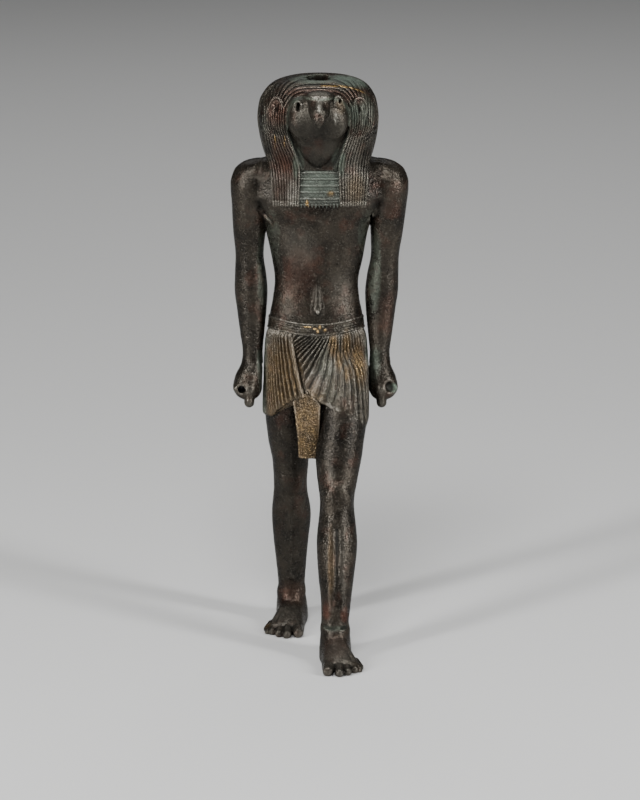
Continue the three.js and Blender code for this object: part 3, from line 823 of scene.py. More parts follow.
@dataclass(frozen=True)
class Patch:
    """A soft-edged patch of one kind of mark, strongest in its middle: a stain, gilding, painted highlight
    with pale wear, or painted shade.
    """

    stain: SurfaceMark
    centre: Spot
    radii: Spot
    strength: float

    def at(self, points: Array) -> Array:
        """How strong the stain is at each point."""
        away = np.linalg.norm((points - np.array(self.centre)) / np.array(self.radii), axis=1)
        return self.strength * (1 - ease(away, 0.5, 1.25))


def patches_by_kind(rows: dict[SurfaceMark, list[tuple[float, ...]]]) -> list[Patch]:
    """Patches by kind of mark, from rows that hold a centre, three radii and a strength."""
    return [Patch(stain, row[:3], row[3:6], row[6]) for stain, group in rows.items() for row in group]


@dataclass(frozen=True)
class Patina:
    """Dark brown bronze with its corrosion, pits and remains of gold, painted shade in its hollows and
    painted highlights on its ridges.
    """

    name: str
    dark: Colour = colour(22, 20, 18)
    light: Colour = colour(62, 56, 48)
    red: Colour = colour(76, 48, 38)
    green: Colour = colour(104, 118, 104)
    deep_green: Colour = colour(52, 68, 60)
    # Dark colour for pits, also used for painted shade in hollows and in the grooves between strands.
    pits_and_shade: Colour = colour(24, 24, 22)
    gold: Colour = colour(178, 150, 104)
    dull_gold: Colour = colour(96, 75, 46)
    # Pale colour for wear and speckle, also used for painted highlights on ridges and raised places.
    worn: Colour = colour(146, 142, 132)
    edge: Colour = colour(140, 140, 137)
    red_share: float = 0.3
    pit_share: float = 0.75
    pit_size: float = 0.95
    rough: float = 0.26
    metal: float = 0.65
    shine: float = 0.9
    line_depth: float = 0.0
    speckle: float = 0.2
    grain: float = 0.22
    edge_wear_and_highlight: float = 0.28
    aside: Spot = (31.0, 17.0, 5.0)

    def build(self) -> bpy.types.Material:
        """Makes the material.

        Returns:
            A material that reads object coordinates and the values kept at the points.
        """
        material = bpy.data.materials.new(self.name)
        material.use_nodes = True
        graph = Graph(material.node_tree)
        place = graph.node("ShaderNodeTexCoord", {}, {}, "Object")
        spot = graph.node("ShaderNodeVectorMath", {"operation": "SCALE"}, {0: place, "Scale": 1 / MILLIMETRE})
        aside = graph.node("ShaderNodeVectorMath", {"operation": "ADD"}, {0: spot, 1: self.aside})
        # hollow is high in concave places and under the painted-shade patches; crest is high on convex
        # ridges.
        hollow, crest = graph.value("hollow"), graph.value("crest")
        broad, middle = graph.cloud(spot, 14.0, 4.0), graph.cloud(spot, 3.6, 4.0, 0.6)
        fine, reds = graph.cloud(spot, 0.9, 3.0, 0.6), graph.cloud(aside, 9.0, 4.0)

        base = graph.blend((broad.above(0.3, 0.72) * 0.5 + middle * 0.7 - 0.2).held(), self.dark, self.light)
        ruddy = (reds.above(0.5, 0.72) * self.red_share + graph.value("red") * (0.3 + middle)).held()
        base = graph.blend(ruddy, base, self.red)
        # Painted highlights with some pale wear: the grey patches lighten towards the pale colour.
        base = graph.blend((graph.value("grey") * (0.3 + middle * 0.8)).held(), base, self.worn)
        # Ridges are lightened towards the pale colour: pale wear and painted highlight.
        base = graph.blend((crest * (0.15 + fine * 0.8)).held() * self.edge_wear_and_highlight, base, self.worn)
        base = graph.blend(fine.above(0.52, 0.8) * self.speckle, base, self.worn)
        stain = (graph.value("green") * (0.35 + middle * 1.3) - (1 - fine) * 0.3).held()
        base = graph.blend(stain * 0.85, base, graph.blend(fine, self.deep_green, self.green))

        cell_inputs = {"Vector": spot, "Scale": 1 / self.pit_size}
        cells = graph.node("ShaderNodeTexVoronoi", {}, cell_inputs, "Distance")
        pitted = graph.cloud(aside, 5.0, 2.0).above(0.64 - 0.3 * self.pit_share, 0.74)
        pits = (1 - cells.above(0.12, 0.32)) * pitted
        base = graph.blend(pits * 0.9, base, self.pits_and_shade)

        gilt = graph.value("gold")
        base = graph.blend((gilt * (0.1 + middle * 1.5)).held() * 0.85, base, self.dull_gold)
        leaf = (gilt * (0.05 + fine * 1.0 + middle * 0.5 + crest * 0.12)).above(0.5, 0.85)
        base = graph.blend(leaf, base, self.gold)
        # Painted shade: concave places and the painted-shade patches are darkened.
        base = graph.blend((hollow * (0.6 + fine * 0.7)).held() * 0.9, base, self.pits_and_shade)

        lift = fine * self.grain + middle * 0.25 - pits * 0.7 + leaf * 0.05
        if self.line_depth:
            phase, depth = graph.value("strand"), graph.value("strand_depth")
            off = (phase - phase.maths("FLOOR", phase) - 0.5) * 2
            lift = lift + (1 - off * off) * depth * self.line_depth
            # Painted shade in the grooves between strands.
            base = graph.blend((off * off).above(0.45, 1.0) * depth * 0.75, base, self.pits_and_shade)
        rough = self.rough + (middle - 0.5) * 0.35 + stain * 0.25 + pits * 0.2 + hollow * 0.15 - crest * 0.06
        bump = graph.node("ShaderNodeBump", {}, {"Height": lift, "Distance": MILLIMETRE, "Strength": 1.0})
        inputs = {
            "Base Color": base,
            "Roughness": rough.held(),
            "Metallic": (self.metal - stain * 0.4 + leaf * 0.3 - pits * 0.3).held(),
            "Normal": bump,
            "Specular IOR Level": self.shine,
            "Specular Tint": self.edge,
        }
        shader = graph.node("ShaderNodeBsdfPrincipled", {}, inputs)
        graph.node("ShaderNodeOutputMaterial", {}, {"Surface": shader})
        return material


SKIN = Patina("bronze skin")
HAIR = Patina(
    "bronze wig", light=colour(84, 79, 70), red_share=0.4, pit_share=0.3,
    line_depth=0.34, grain=0.25, edge_wear_and_highlight=0.22,
)
CUT_HAIR = replace(HAIR, name="bronze wig ends", line_depth=0.0, grain=0.2, edge_wear_and_highlight=0.42)
LINEN = Patina(
    "bronze cloth", light=colour(68, 63, 53), pit_share=0.3, speckle=0.5, grain=0.3, edge_wear_and_highlight=0.36,
)
BEADWORK = Patina(
    "bronze beadwork", dark=colour(64, 67, 62), light=colour(98, 101, 94),
    red_share=0.1, pit_share=0.3, grain=0.2, edge_wear_and_highlight=0.9,
)


@dataclass
class Piece:
    """A finished mesh with its name, its finish and its patches of stain, gilding, painted highlight and
    painted shade.
    """

    name: str
    surface: Surface
    finish: Patina
    patches: list[Patch]
    felt: int = 10
    hollow_range: tuple[float, float] = (0.03, 0.28)

    def dress(self) -> None:
        """Works out the values that the finish reads at each point."""
        depth = self.surface.hollows(self.felt)
        values = self.surface.values
        # Concave places get the hollow value, which the finish darkens as painted shade; convex ones get the
        # crest value, which it lightens as pale wear and painted highlight.
        values["hollow"] = ease(depth, *self.hollow_range)
        values["crest"] = ease(-depth, *self.hollow_range)
        for stain in SurfaceMark:
            total = values.get(stain.value, np.zeros(len(self.surface.points)))
            for patch in self.patches:
                if patch.stain is stain:
                    total = np.maximum(total, patch.at(self.surface.points))
            values[stain.value] = np.clip(total, 0, 1)

    def placed(self) -> Array:
        """The points in metres, in their own place."""
        points = self.surface.points.copy()
        ahead, higher = SLANT(points[:, 2])
        points[:, 1] -= ahead
        points[:, 2] += higher
        points = (points + TO_OUTLINE_MIDDLE) * MILLIMETRE
        low, high = (np.array(corner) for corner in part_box(NODE))
        return np.clip(points, low, high)

    def publish(self, materials: dict[str, bpy.types.Material]) -> bpy.types.Object:
        """Makes the mesh and its object.

        Args:
            materials: The materials made so far, by name.

        Returns:
            The object, which stands for the solid.
        """
        self.dress()
        faces = self.surface.faces
        sizes = np.concatenate([np.full(len(group), group.shape[1]) for group in faces])
        corners = np.concatenate([group.ravel() for group in faces])
        mesh = bpy.data.meshes.new(self.name)
        mesh.vertices.add(len(self.surface.points))
        mesh.vertices.foreach_set("co", self.placed().ravel())
        mesh.loops.add(len(corners))
        mesh.loops.foreach_set("vertex_index", corners.astype(np.int32))
        mesh.polygons.add(len(sizes))
        starts = np.concatenate([[0], np.cumsum(sizes)[:-1]])
        mesh.polygons.foreach_set("loop_start", starts.astype(np.int32))
        mesh.update(calc_edges=True)
        mesh.shade_smooth()
        for name, values in self.surface.values.items():
            kept = mesh.attributes.new(name, "FLOAT", "POINT")
            kept.data.foreach_set("value", values.astype(np.float32))
        if self.finish.name not in materials:
            materials[self.finish.name] = self.finish.build()
        mesh.materials.append(materials[self.finish.name])
        shown = bpy.data.objects.new(self.name, mesh)
        bpy.context.scene.collection.objects.link(shown)
        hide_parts(NODE)
        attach(shown, BODY)
        log.info("%s: %d triangles", self.name, int((sizes - 2).sum()))
        return shown


@dataclass
class Head:
    """The falcon's head in its wig: cap, arched opening, face, beak, brow, eyes, ears and crown socket."""

    step: float = 0.36
    face_power: float = 2.6
    face_slope: float = 24.0
    strand_pitch: float = 1.11
    back_strand_pitch: float = 1.15
    arch_reach: float = 14.2
    first_strand: float = 14.3
    back_reach: float = 24.4
    back_turn: float = 72.0
    back_phase: float = 10.0
    rim: float = 1.6
    beak_x: float = -0.9
    beak_path: tuple[Spot, ...] = (
        (-20, 249.6, 5.6), (-25, 249.8, 4.6), (-28.3, 248.4, 3.9), (-30.1, 246.4, 2.9), (-31.1, 243.4, 0.8),
    )
    beak_ridge: tuple[tuple[float, float], ...] = (
        (-21.5, 255.4), (-25.6, 254.8), (-29.4, 252.2), (-31.6, 249.2),
    )
    brow: tuple[tuple[float, float, Spot, float], ...] = (
        (-20.4, 254.5, (6.8, 6.4, 2.6), 2.6), (-22.2, 255.9, (5.2, 5.0, 1.3), 0.9),
    )
    socket_bed: tuple[Spot, Spot] = ((-1.0, -4.2, 259.4), (5.8, 2.6, 1.3))
    socket_holes: tuple[tuple[float, float, float, float], ...] = (
        (-5.4, -2.6, 255.0, 1.3), (-6.6, -1.4, 256.4, 1.2), (-3.6, -1.8, 256.4, 1.3),
        (-0.9, -2.6, 254.8, 1.8), (1.5, -2.2, 255.0, 1.9), (3.4, -2.4, 255.6, 1.2),
        (-1.6, 0.4, 256.6, 2.0), (1.6, 0.6, 256.6, 1.8), (-5.0, 0.8, 257.0, 1.3),
    )
    patches: list[Patch] = field(default_factory=lambda: patches_by_kind({
        SurfaceMark.GREEN: [
            (12.9, -2.6, 258.7, 11, 9, 5, 0.9), (-3, -4, 260, 14, 9, 3, 0.75),
            (20, -12, 246, 7, 8, 12, 0.35), (14.5, -17.5, 247, 3, 3, 8, 0.5),
            (-24, -4, 240, 5, 10, 14, 0.35), (6.5, -16, 226, 2.6, 4, 9, 0.45),
            (-9.5, -16, 226, 2.6, 4, 9, 0.45),
        ],
        SurfaceMark.RED: [
            (-8, -16, 256, 14, 6, 2.2, 0.75), (14, -14, 253, 7, 6, 4, 0.4),
            (-19.5, -15, 247, 6, 5, 8, 0.5),
        ],
        # Painted shade: in the crown socket, on the throat under the beak, over the cheeks and in the
        # recesses beside the beak.
        SurfaceMark.DARK: [
            (-1.4, -0.6, 256, 8.5, 5.2, 6.0, 1.0), (-1.2, -18, 232, 13, 12, 13, 0.55),
            (-1.2, -24, 243.5, 18, 10, 9, 0.45), (-5.9, -26, 248.6, 2.4, 5, 4.6, 0.5),
            (4.1, -26, 248.6, 2.4, 5, 4.6, 0.5),
        ],
        # Painted highlights and pale wear: brow plate, beak ridge, eye rims, crown and cheek marks.
        SurfaceMark.WEAR_AND_HIGHLIGHT: [
            (-0.9, -27, 256.2, 5.2, 6, 2.0, 0.42), (-0.9, -28, 252.5, 1.6, 6, 3.0, 0.8),
            (-10.2, -23.4, 251, 3.0, 3, 3.2, 0.2), (8.3, -23, 251.6, 3.0, 3, 4.4, 0.15),
            (-4, -12, 258.6, 20, 9, 4, 0.22), (6.3, -24.8, 245.6, 0.9, 2, 3, 0.8),
            (8.9, -22.2, 241.6, 2.4, 2, 3.4, 0.35),
        ],
        SurfaceMark.GOLD: [(8.6, -23, 250.6, 2.6, 3, 3.6, 0.35)],
    }))

    def on_face(self, offset: float, z: float) -> Spot:
        """The point of the face's surface at a sideways offset and a height."""
        x, y, wide, front, _ = (float(value) for value in FACE(z))
        share = abs(offset) / wide
        return x + offset, y - front * (1 - share ** self.face_power) ** (1 / self.face_power), z

    def under_wig(self) -> Table:
        """The sections of the neck and cheeks that close the opening's lower part behind its rim."""
        rows = [
            [z, x, y, *(reach - self.rim for reach in reaches)] for z, x, y, *reaches in WIG_ROWS if z < 242
        ]
        return Table([[218, *rows[0][1:]]] + rows + [[246, -1.4, -1, 24, 12, 20]])

    def shape(self) -> Block:
        """Melts the whole head together."""
        block = Block((-31, -35, 218.5), (28.5, 26, 262), self.step)
        block.add(Loft(WIG, WIG_POWER)).cut(FaceOpening())
        block.add(Loft(self.under_wig(), WIG_POWER), 0.6)
        block.add(Loft(FACE, self.face_power))
        for side in (-1, 1):
            block.add(Ball((-1.5 + side * 8.2, -20.6, 242.6), (4.6, 4.2, 6.4), turned(side * 14, 0)), 2.5)
        self.add_beak(block)
        for y, z, radii, melt in self.brow:
            block.add(Ball((self.beak_x, y, z), radii), melt)
        self.add_eye(block, -8.9, 250.9, (1.95, 2.4), 6, (0.85, 2.6, 1.95))
        self.add_eye(block, 9.2, 251.8, (1.95, 3.5), -8, (0.7, 2.2, 1.0))
        block.add(Rod((5.6, -25.2, 247.6), (6.9, -24.4, 243.6), 0.3, 0.25), 0.3)
        block.add(Rod((10.6, -21.2, 244.4), (7.2, -22.9, 238.9), 0.3, 0.2), 0.3)
        self.add_ear(block, -1)
        self.add_ear(block, 1)
        self.cut_socket(block)
        return block

    def add_beak(self, block: Block) -> None:
        """The hooked beak, with its ridge, nostrils and mouth line."""
        x = self.beak_x
        for (y0, z0, r0), (y1, z1, r1) in zip(self.beak_path, self.beak_path[1:]):
            block.add(Rod((x, y0, z0), (x, y1, z1), r0, r1), 0.8)
        for (y0, z0), (y1, z1) in zip(self.beak_ridge, self.beak_ridge[1:]):
            block.add(Rod((x, y0, z0), (x, y1, z1), 0.8, 0.5), 1.6)
        block.cut(Ball((-0.8, -33.0, 247.0), (0.35, 0.7, 0.45)), 0.2)
        for side in (-1, 1):
            block.cut(Rod((x + side * 2.0, -30.2, 244.8), (x + side * 4.6, -27.9, 244.8), 0.15, 0.22), 0.5)
            block.cut(Rod((x + side * 4.6, -27.9, 245.0), (x + side * 7.6, -26.2, 246.0), 0.22, 0.12), 0.5)

    def add_eye(
        self, block: Block, offset: float, z: float, rim: tuple[float, float], lean: float, pit: Spot,
    ) -> None:
        """A raised rim round a pit, set in the slope of the face.

        Args:
            block: The head so far.
            offset: How far from the face's middle.
            z: The eye's height.
            rim: The rim's half width and half height.
            lean: Degrees that it leans.
            pit: The pit's radii.
        """
        aim = turned(lean, math.copysign(self.face_slope, offset))
        middle = self.on_face(offset, z)
        wide, tall = rim
        block.cut(Ball(middle, (wide + 0.5, 0.8, tall + 0.5), aim), 0.9)
        block.add(Ball(tuple(np.array(middle) + aim @ (0, 0.9, 0)), (wide, 1.3, tall), aim), 0.4)
        block.add(Ring(tuple(np.array(middle) + aim @ (0, -0.1, 0)), (wide, 0.42, tall), aim), 0.25)
        out, up = (0.7, 1.3) if offset > 0 else (0.0, 0.0)
        block.cut(Ball((middle[0] + out, middle[1], middle[2] + up), pit, aim), 0.3)

    def add_ear(self, block: Block, side: int) -> None:
        """An ear lying on the wig: a rim and lobe round a hollow."""
        aim = turned(side * -10, side * 27)
        middle = np.array([-1.5 + side * 18.5, -15.2, 247.5])
        block.add(Ball(tuple(middle + aim @ (0, 0.2, -0.6)), (4.1, 1.5, 7.0), aim), 0.9)
        block.add(Ring(tuple(middle + aim @ (0, -1.1, 0.8)), (3.3, 0.45, 5.2), aim), 0.7)
        block.add(Ball(tuple(middle + aim @ (-side * 0.9, -0.9, -5.9)), (1.8, 1.2, 2.2), aim), 0.8)
        block.cut(Ball(tuple(middle + aim @ (-side * 0.2, -1.9, 1.5)), (1.9, 1.6, 3.5), aim), 0.5)
        block.add(Ball(tuple(middle + aim @ (side * 0.9, -0.9, -0.6)), (0.8, 0.8, 2.4), aim), 0.4)

    def cut_socket(self, block: Block) -> None:
        """The ragged socket in the crown: a shallow broken bed with deeper holes that lean backwards."""
        block.cut(Ball(*self.socket_bed), 0.4)
        for x, y, bottom, radius in self.socket_holes:
            block.cut(Rod((x, y + 2.2, bottom - 1), (x, y, 263), radius, radius * 1.05), 0.3)

    def strands(self, points: Array) -> tuple[Array, Array]:
        """The strand count and the depth of the grooves over the wig.

        Args:
            points: The head's points.

        Returns:
            The phase, which grows by 1 from strand to strand, and the groove's depth from 0 to 1.
        """
        x, y, z = points.T
        opening, wig = FaceOpening(), Loft(WIG, WIG_POWER)
        centre, middle, wide, front, back = WIG(z)
        on_arch = (opening.nearness(x, z) * self.arch_reach - self.first_strand) / self.strand_pitch
        deep = np.where(y < middle, front, back)
        turn = np.arctan2(np.abs(x - centre) / wide, -(y - middle) / deep)
        behind = (turn - math.radians(self.back_turn)) * self.back_reach
        round_back = self.back_phase + behind / self.back_strand_pitch
        phase = mix(on_arch, round_back, ease(turn, math.radians(64), math.radians(82)))
        on_wig = 1 - ease(np.abs(wig(x, y, z)), 0.35, 0.75)
        outside = ease(opening(x, y, z), 0.2, 0.5)
        top = np.maximum(ease(-y, 2, 7), 1 - ease(z, 255.5, 258.5))
        faint = mix(1, mix(0.75, 1, 1 - ease(z, 238, 247)), ease(on_arch, 4, 8))
        strong = 1 + 0.8 * ease(z, 253, 256) * (1 - ease(on_arch, 4, 6))
        return phase, on_wig * outside * top * faint * strong

    def piece(self) -> Piece:
        """The finished head."""
        surface = self.shape().skin()
        phase, depth = self.strands(surface.points)
        surface.values["strand"], surface.values["strand_depth"] = phase, depth
        off = (phase - np.floor(phase) - 0.5) * 2
        surface.points += surface.normals() * ((0.4 - off * off) * 0.12 * depth)[:, None]
        x, y, z = surface.points.T
        edge = np.exp(-((FaceOpening().nearness(x, z) - 1.0) / 0.05) ** 2)
        surface.values["green"] = 0.5 * edge * (y < -15) * (z > 222)
        over_brow = 257.9 - 3.9 * np.clip((x + 0.6) / 20, 0, 1.1) ** 3.2
        brass = np.exp(-((z - over_brow) / 0.32) ** 2) * ease(x, -1.5, 0.5) * (1 - ease(x, 18, 21)) * (y < -6)
        surface.values["gold"] = 1.15 * brass
        return Piece("head_and_wig", surface, HAIR, self.patches)


@dataclass
class Lappets:
    """The three ends of the wig: two on the chest and one down the back, with fine strands."""

    strand_count: int = 11
    back_strand_count: int = 30
    strand_depth: float = 0.72
    thickness: float = 3.2
    low: float = 203.6
    high: float = 240.0
    patches: list[Patch] = field(default_factory=lambda: patches_by_kind({
        SurfaceMark.RED: [(-17, -17, 222, 7, 6, 17, 0.32)],
        SurfaceMark.GOLD: [
            (-20.7, -15.5, 237, 0.5, 3, 8, 0.75), (-16.5, -18, 234, 0.45, 3, 4.5, 0.7),
            (16, -18, 212, 5, 4, 9, 0.4),
        ],
        # Painted highlights and pale wear on both ends.
        SurfaceMark.WEAR_AND_HIGHLIGHT: [(14, -17, 222, 6, 5, 16, 0.18), (-13, -17.5, 210, 3, 4, 6, 0.5)],
        SurfaceMark.GREEN: [(9, -16, 226, 2.4, 4, 10, 0.7), (-11.5, -16, 224, 1.8, 4, 10, 0.6)],
    }))

    def front(self, side: int) -> Surface:
        """One end on the chest."""
        def place(across: Array, up: Array, out: float) -> Array:
            """A point of the slab."""
            z = mix(self.low, self.high, up)
            share = 1 - across if side < 0 else across
            offset = mix(LAPPET_INNER(z)[0], LAPPET_OUTER(z)[0], share)
            _, y, wide, front, _ = WIG(np.maximum(z, 220))
            near = np.minimum(offset / wide, 0.995)
            on_cap = y - front * (1 - near ** WIG_POWER) ** (1 / WIG_POWER)
            on_chest = -14.6 - self.thickness + (offset / 21.2) ** 2 * 3.4
            face = mix(on_chest, on_cap - 0.3, ease(z, 214, 230)) + 0.75 * ease(z, 229, 239.9)
            lines = (ridge(across * self.strand_count) - 0.5) * self.strand_depth
            lines = lines - 0.3 * np.exp(-((z - 206.3) / 0.35) ** 2)
            lift = mix(lines, -0.5, ease(z, 236, 239.9))
            back = np.maximum(face + 3, mix(-8, -5, up))
            return np.stack([spine(z) + side * offset, face - lift if out else back, z], 1)
        return slab(9 * self.strand_count, 72, place)

    def back(self) -> Surface:
        """The end down the back."""
        def place(across: Array, up: Array, out: float) -> Array:
            """A point of the slab."""
            z = mix(240, 204, up)
            offset = mix(-1, 1, across) * mix(24, 17.5, up)
            _, y, wide, _, back = WIG(np.maximum(z, 220))
            near = np.minimum(np.abs(offset) / wide, 0.995)
            on_cap = y + back * (1 - near ** WIG_POWER) ** (1 / WIG_POWER)
            on_back = 17.6 - (offset / 20) ** 2 * 3.4
            face = mix(on_back, on_cap + 0.2, ease(z, 212, 230)) - 0.7 * ease(z, 228, 239)
            lines = (ridge(across * self.back_strand_count) - 0.5) * self.strand_depth * 0.6
            lift = mix(lines, -0.5, ease(z, 235, 239))
            inside = np.minimum(face - 3, 8)
            return np.stack([spine(z) + offset, face + lift if out else inside, z], 1)
        return slab(7 * self.back_strand_count, 48, place)

    def piece(self) -> Piece:
        """The three finished ends."""
        surface = self.front(-1) + self.front(1) + self.back()
        return Piece("wig_ends", surface, CUT_HAIR, self.patches, 6, (0.02, 0.2))


@dataclass
class Collar:
    """The broad collar between the wig's ends, with a row of drop beads under it."""

    row_depth: float = 0.5
    low: float = 203.9
    first_row: float = 205.4
    high: float = 221.5
    pitch: float = 3.02
    bead_count: int = 11
    bead_radius: float = 0.82
    bead_height: float = 2.2
    bead_seed: int = 7
    beads_width: float = 18.0
    beads_y: float = -15.95
    beads_z: float = 203.7
    patches: list[Patch] = field(default_factory=lambda: patches_by_kind({
        SurfaceMark.GOLD: [(-6.4, -15.5, 204.6, 0.9, 2.4, 2.4, 1.2), (4.3, -16.4, 209.3, 2.0, 2, 1.6, 0.8)],
        SurfaceMark.GREEN: [(-1, -16, 214, 10, 4, 8, 0.45)],
    }))

    def bands(self) -> Surface:
        """The slab with its raised lines and the short marks between them."""
        def place(across: Array, up: Array, out: float) -> Array:
            """A point of the slab."""
            z = mix(self.low, self.high, up)
            x = spine(z) + mix(-1, 1, across) * 10
            phase = (z - self.first_row) / self.pitch
            off = (phase - np.floor(phase) - 0.5) * 2
            line = np.clip(1 - (off / 0.42) ** 2, 0, 1) ** 0.6
            marks = ridge(across * 17 + 0.5 * np.floor(phase)) * (np.abs(off) > 0.55) * 0.16
            lift = np.where(z < self.first_row, -0.35, (line - 0.5) * self.row_depth + marks)
            face = -16.4 + (2 * across - 1) ** 2 * 0.5 + up * 0.6 - lift
            return np.stack([x, face if out else np.full_like(x, -7), z], 1)
        return slab(120, 116, place)

    def bead_tree(self, material: bpy.types.Material) -> tuple[bpy.types.NodeTree, dict[str, str]]:
        """The nodes that hang drop beads along a level line.

        Args:
            material: What the beads are made of.

        Returns:
            The tree, and the identifiers of its inputs by name.
        """
        tree = bpy.data.node_groups.new("drop beads", "GeometryNodeTree")
        graph = Graph(tree)
        kinds = {"Count": "Int", "Pitch": "Float", "Radius": "Float", "Height": "Float", "Seed": "Int"}
        named = {}
        for name, kind in kinds.items():
            socket = tree.interface.new_socket(name, in_out="INPUT", socket_type="NodeSocket" + kind)
            named[name] = socket.identifier
        tree.interface.new_socket("Geometry", in_out="OUTPUT", socket_type="NodeSocketGeometry")
        given = tree.nodes.new("NodeGroupInput")
        wires = {name: Wire(graph, given.outputs[name]) for name in kinds}
        step = graph.node("ShaderNodeCombineXYZ", {}, {"X": wires["Pitch"]})
        line = graph.node("GeometryNodeMeshLine", {}, {"Count": wires["Count"], "Offset": step})
        sizes = {
            "Vertices": 14, "Side Segments": 5, "Radius Top": wires["Radius"] * 0.12,
            "Radius Bottom": wires["Radius"], "Depth": wires["Height"],
        }
        drop = graph.node("GeometryNodeMeshCone", {}, sizes)
        chances = {2: 0.9, 3: 1.08, "Seed": wires["Seed"]}
        size = graph.node("FunctionNodeRandomValue", {"data_type": "FLOAT"}, chances, 1)
        hung = {"Points": line, "Instance": drop, "Rotation": (math.pi, 0.0, 0.0), "Scale": size}
        beads = graph.node("GeometryNodeInstanceOnPoints", {}, hung)
        real = graph.node("GeometryNodeRealizeInstances", {}, {"Geometry": beads})
        dressed = graph.node("GeometryNodeSetMaterial", {}, {"Geometry": real, "Material": material})
        graph.node("NodeGroupOutput", {}, {"Geometry": dressed})
        return tree, named

    def beads(self, material: bpy.types.Material) -> Surface:
        """The row of drops, as a plain surface."""
        tree, named = self.bead_tree(material)
        holder = bpy.data.objects.new("bead line", bpy.data.meshes.new("bead line"))
        bpy.context.scene.collection.objects.link(holder)
        modifier = holder.modifiers.new("drop beads", "NODES")
        modifier.node_group = tree
        pitch = self.beads_width / self.bead_count
        inputs = {
            "Count": self.bead_count, "Pitch": pitch, "Radius": self.bead_radius,
            "Height": self.bead_height, "Seed": self.bead_seed,
        }
        for name, value in inputs.items():
            modifier[named[name]] = value
        made = bpy.data.meshes.new_from_object(holder.evaluated_get(bpy.context.evaluated_depsgraph_get()))
        points = np.array([vertex.co[:] for vertex in made.vertices])
        rings = [list(polygon.vertices) for polygon in made.polygons]
        sizes = sorted({len(ring) for ring in rings})
        faces = [np.array([ring for ring in rings if len(ring) == size]) for size in sizes]
        holder.modifiers.remove(modifier)
        bpy.data.objects.remove(holder)
        bpy.data.meshes.remove(made)
        start = float(spine(204.0)) - (self.bead_count - 1) / 2 * pitch
        return Surface(points + np.array([start, self.beads_y, self.beads_z + self.bead_height / 2]), faces)


def cloth(turn: Array, z: Array, lift: Array | float) -> Array:
    """A point of the cloth pulled taut round the hips and both thighs.

    Args:
        turn: Degrees from the front towards the figure's left.
        z: The height.
        lift: How far the point stands off the cloth.

    Returns:
        One point for each turn.
    """
    hips = HIPS(z)
    under = 1 - 0.4 * ease(z, 126, 141)
    forms = [(hips, 0.0)] + [((x, y, a * under, b * under, c * under), 0.6)
                             for x, y, a, b, c in (REAR_LEG(z), FRONT_LEG(z))]
    aim_x, aim_y = 24 * np.sin(np.radians(turn)), -15 * np.cos(np.radians(turn))
    scale = np.full(len(turn), np.inf)
    for angle in np.arange(0, 2 * math.pi, math.radians(2)):
        cos, sin = math.cos(angle), math.sin(angle)
        far = np.full(len(turn), -np.inf)
        for (x, y, wide, front, back), extra in forms:
            deep = front if sin < 0 else back
            far = np.maximum(far, x * cos + y * sin + np.hypot((wide + extra) * cos, (deep + extra) * sin))
        facing = aim_x * cos + aim_y * sin
        reach = (far - hips[0] * cos - hips[1] * sin) / np.where(facing > 1e-6, facing, 1)
        scale = np.where(facing > 1e-6, np.minimum(scale, reach), scale)
    out = scale + lift / np.hypot(aim_x, aim_y)
    return np.stack([hips[0] + aim_x * out, hips[1] + aim_y * out, z], 1)


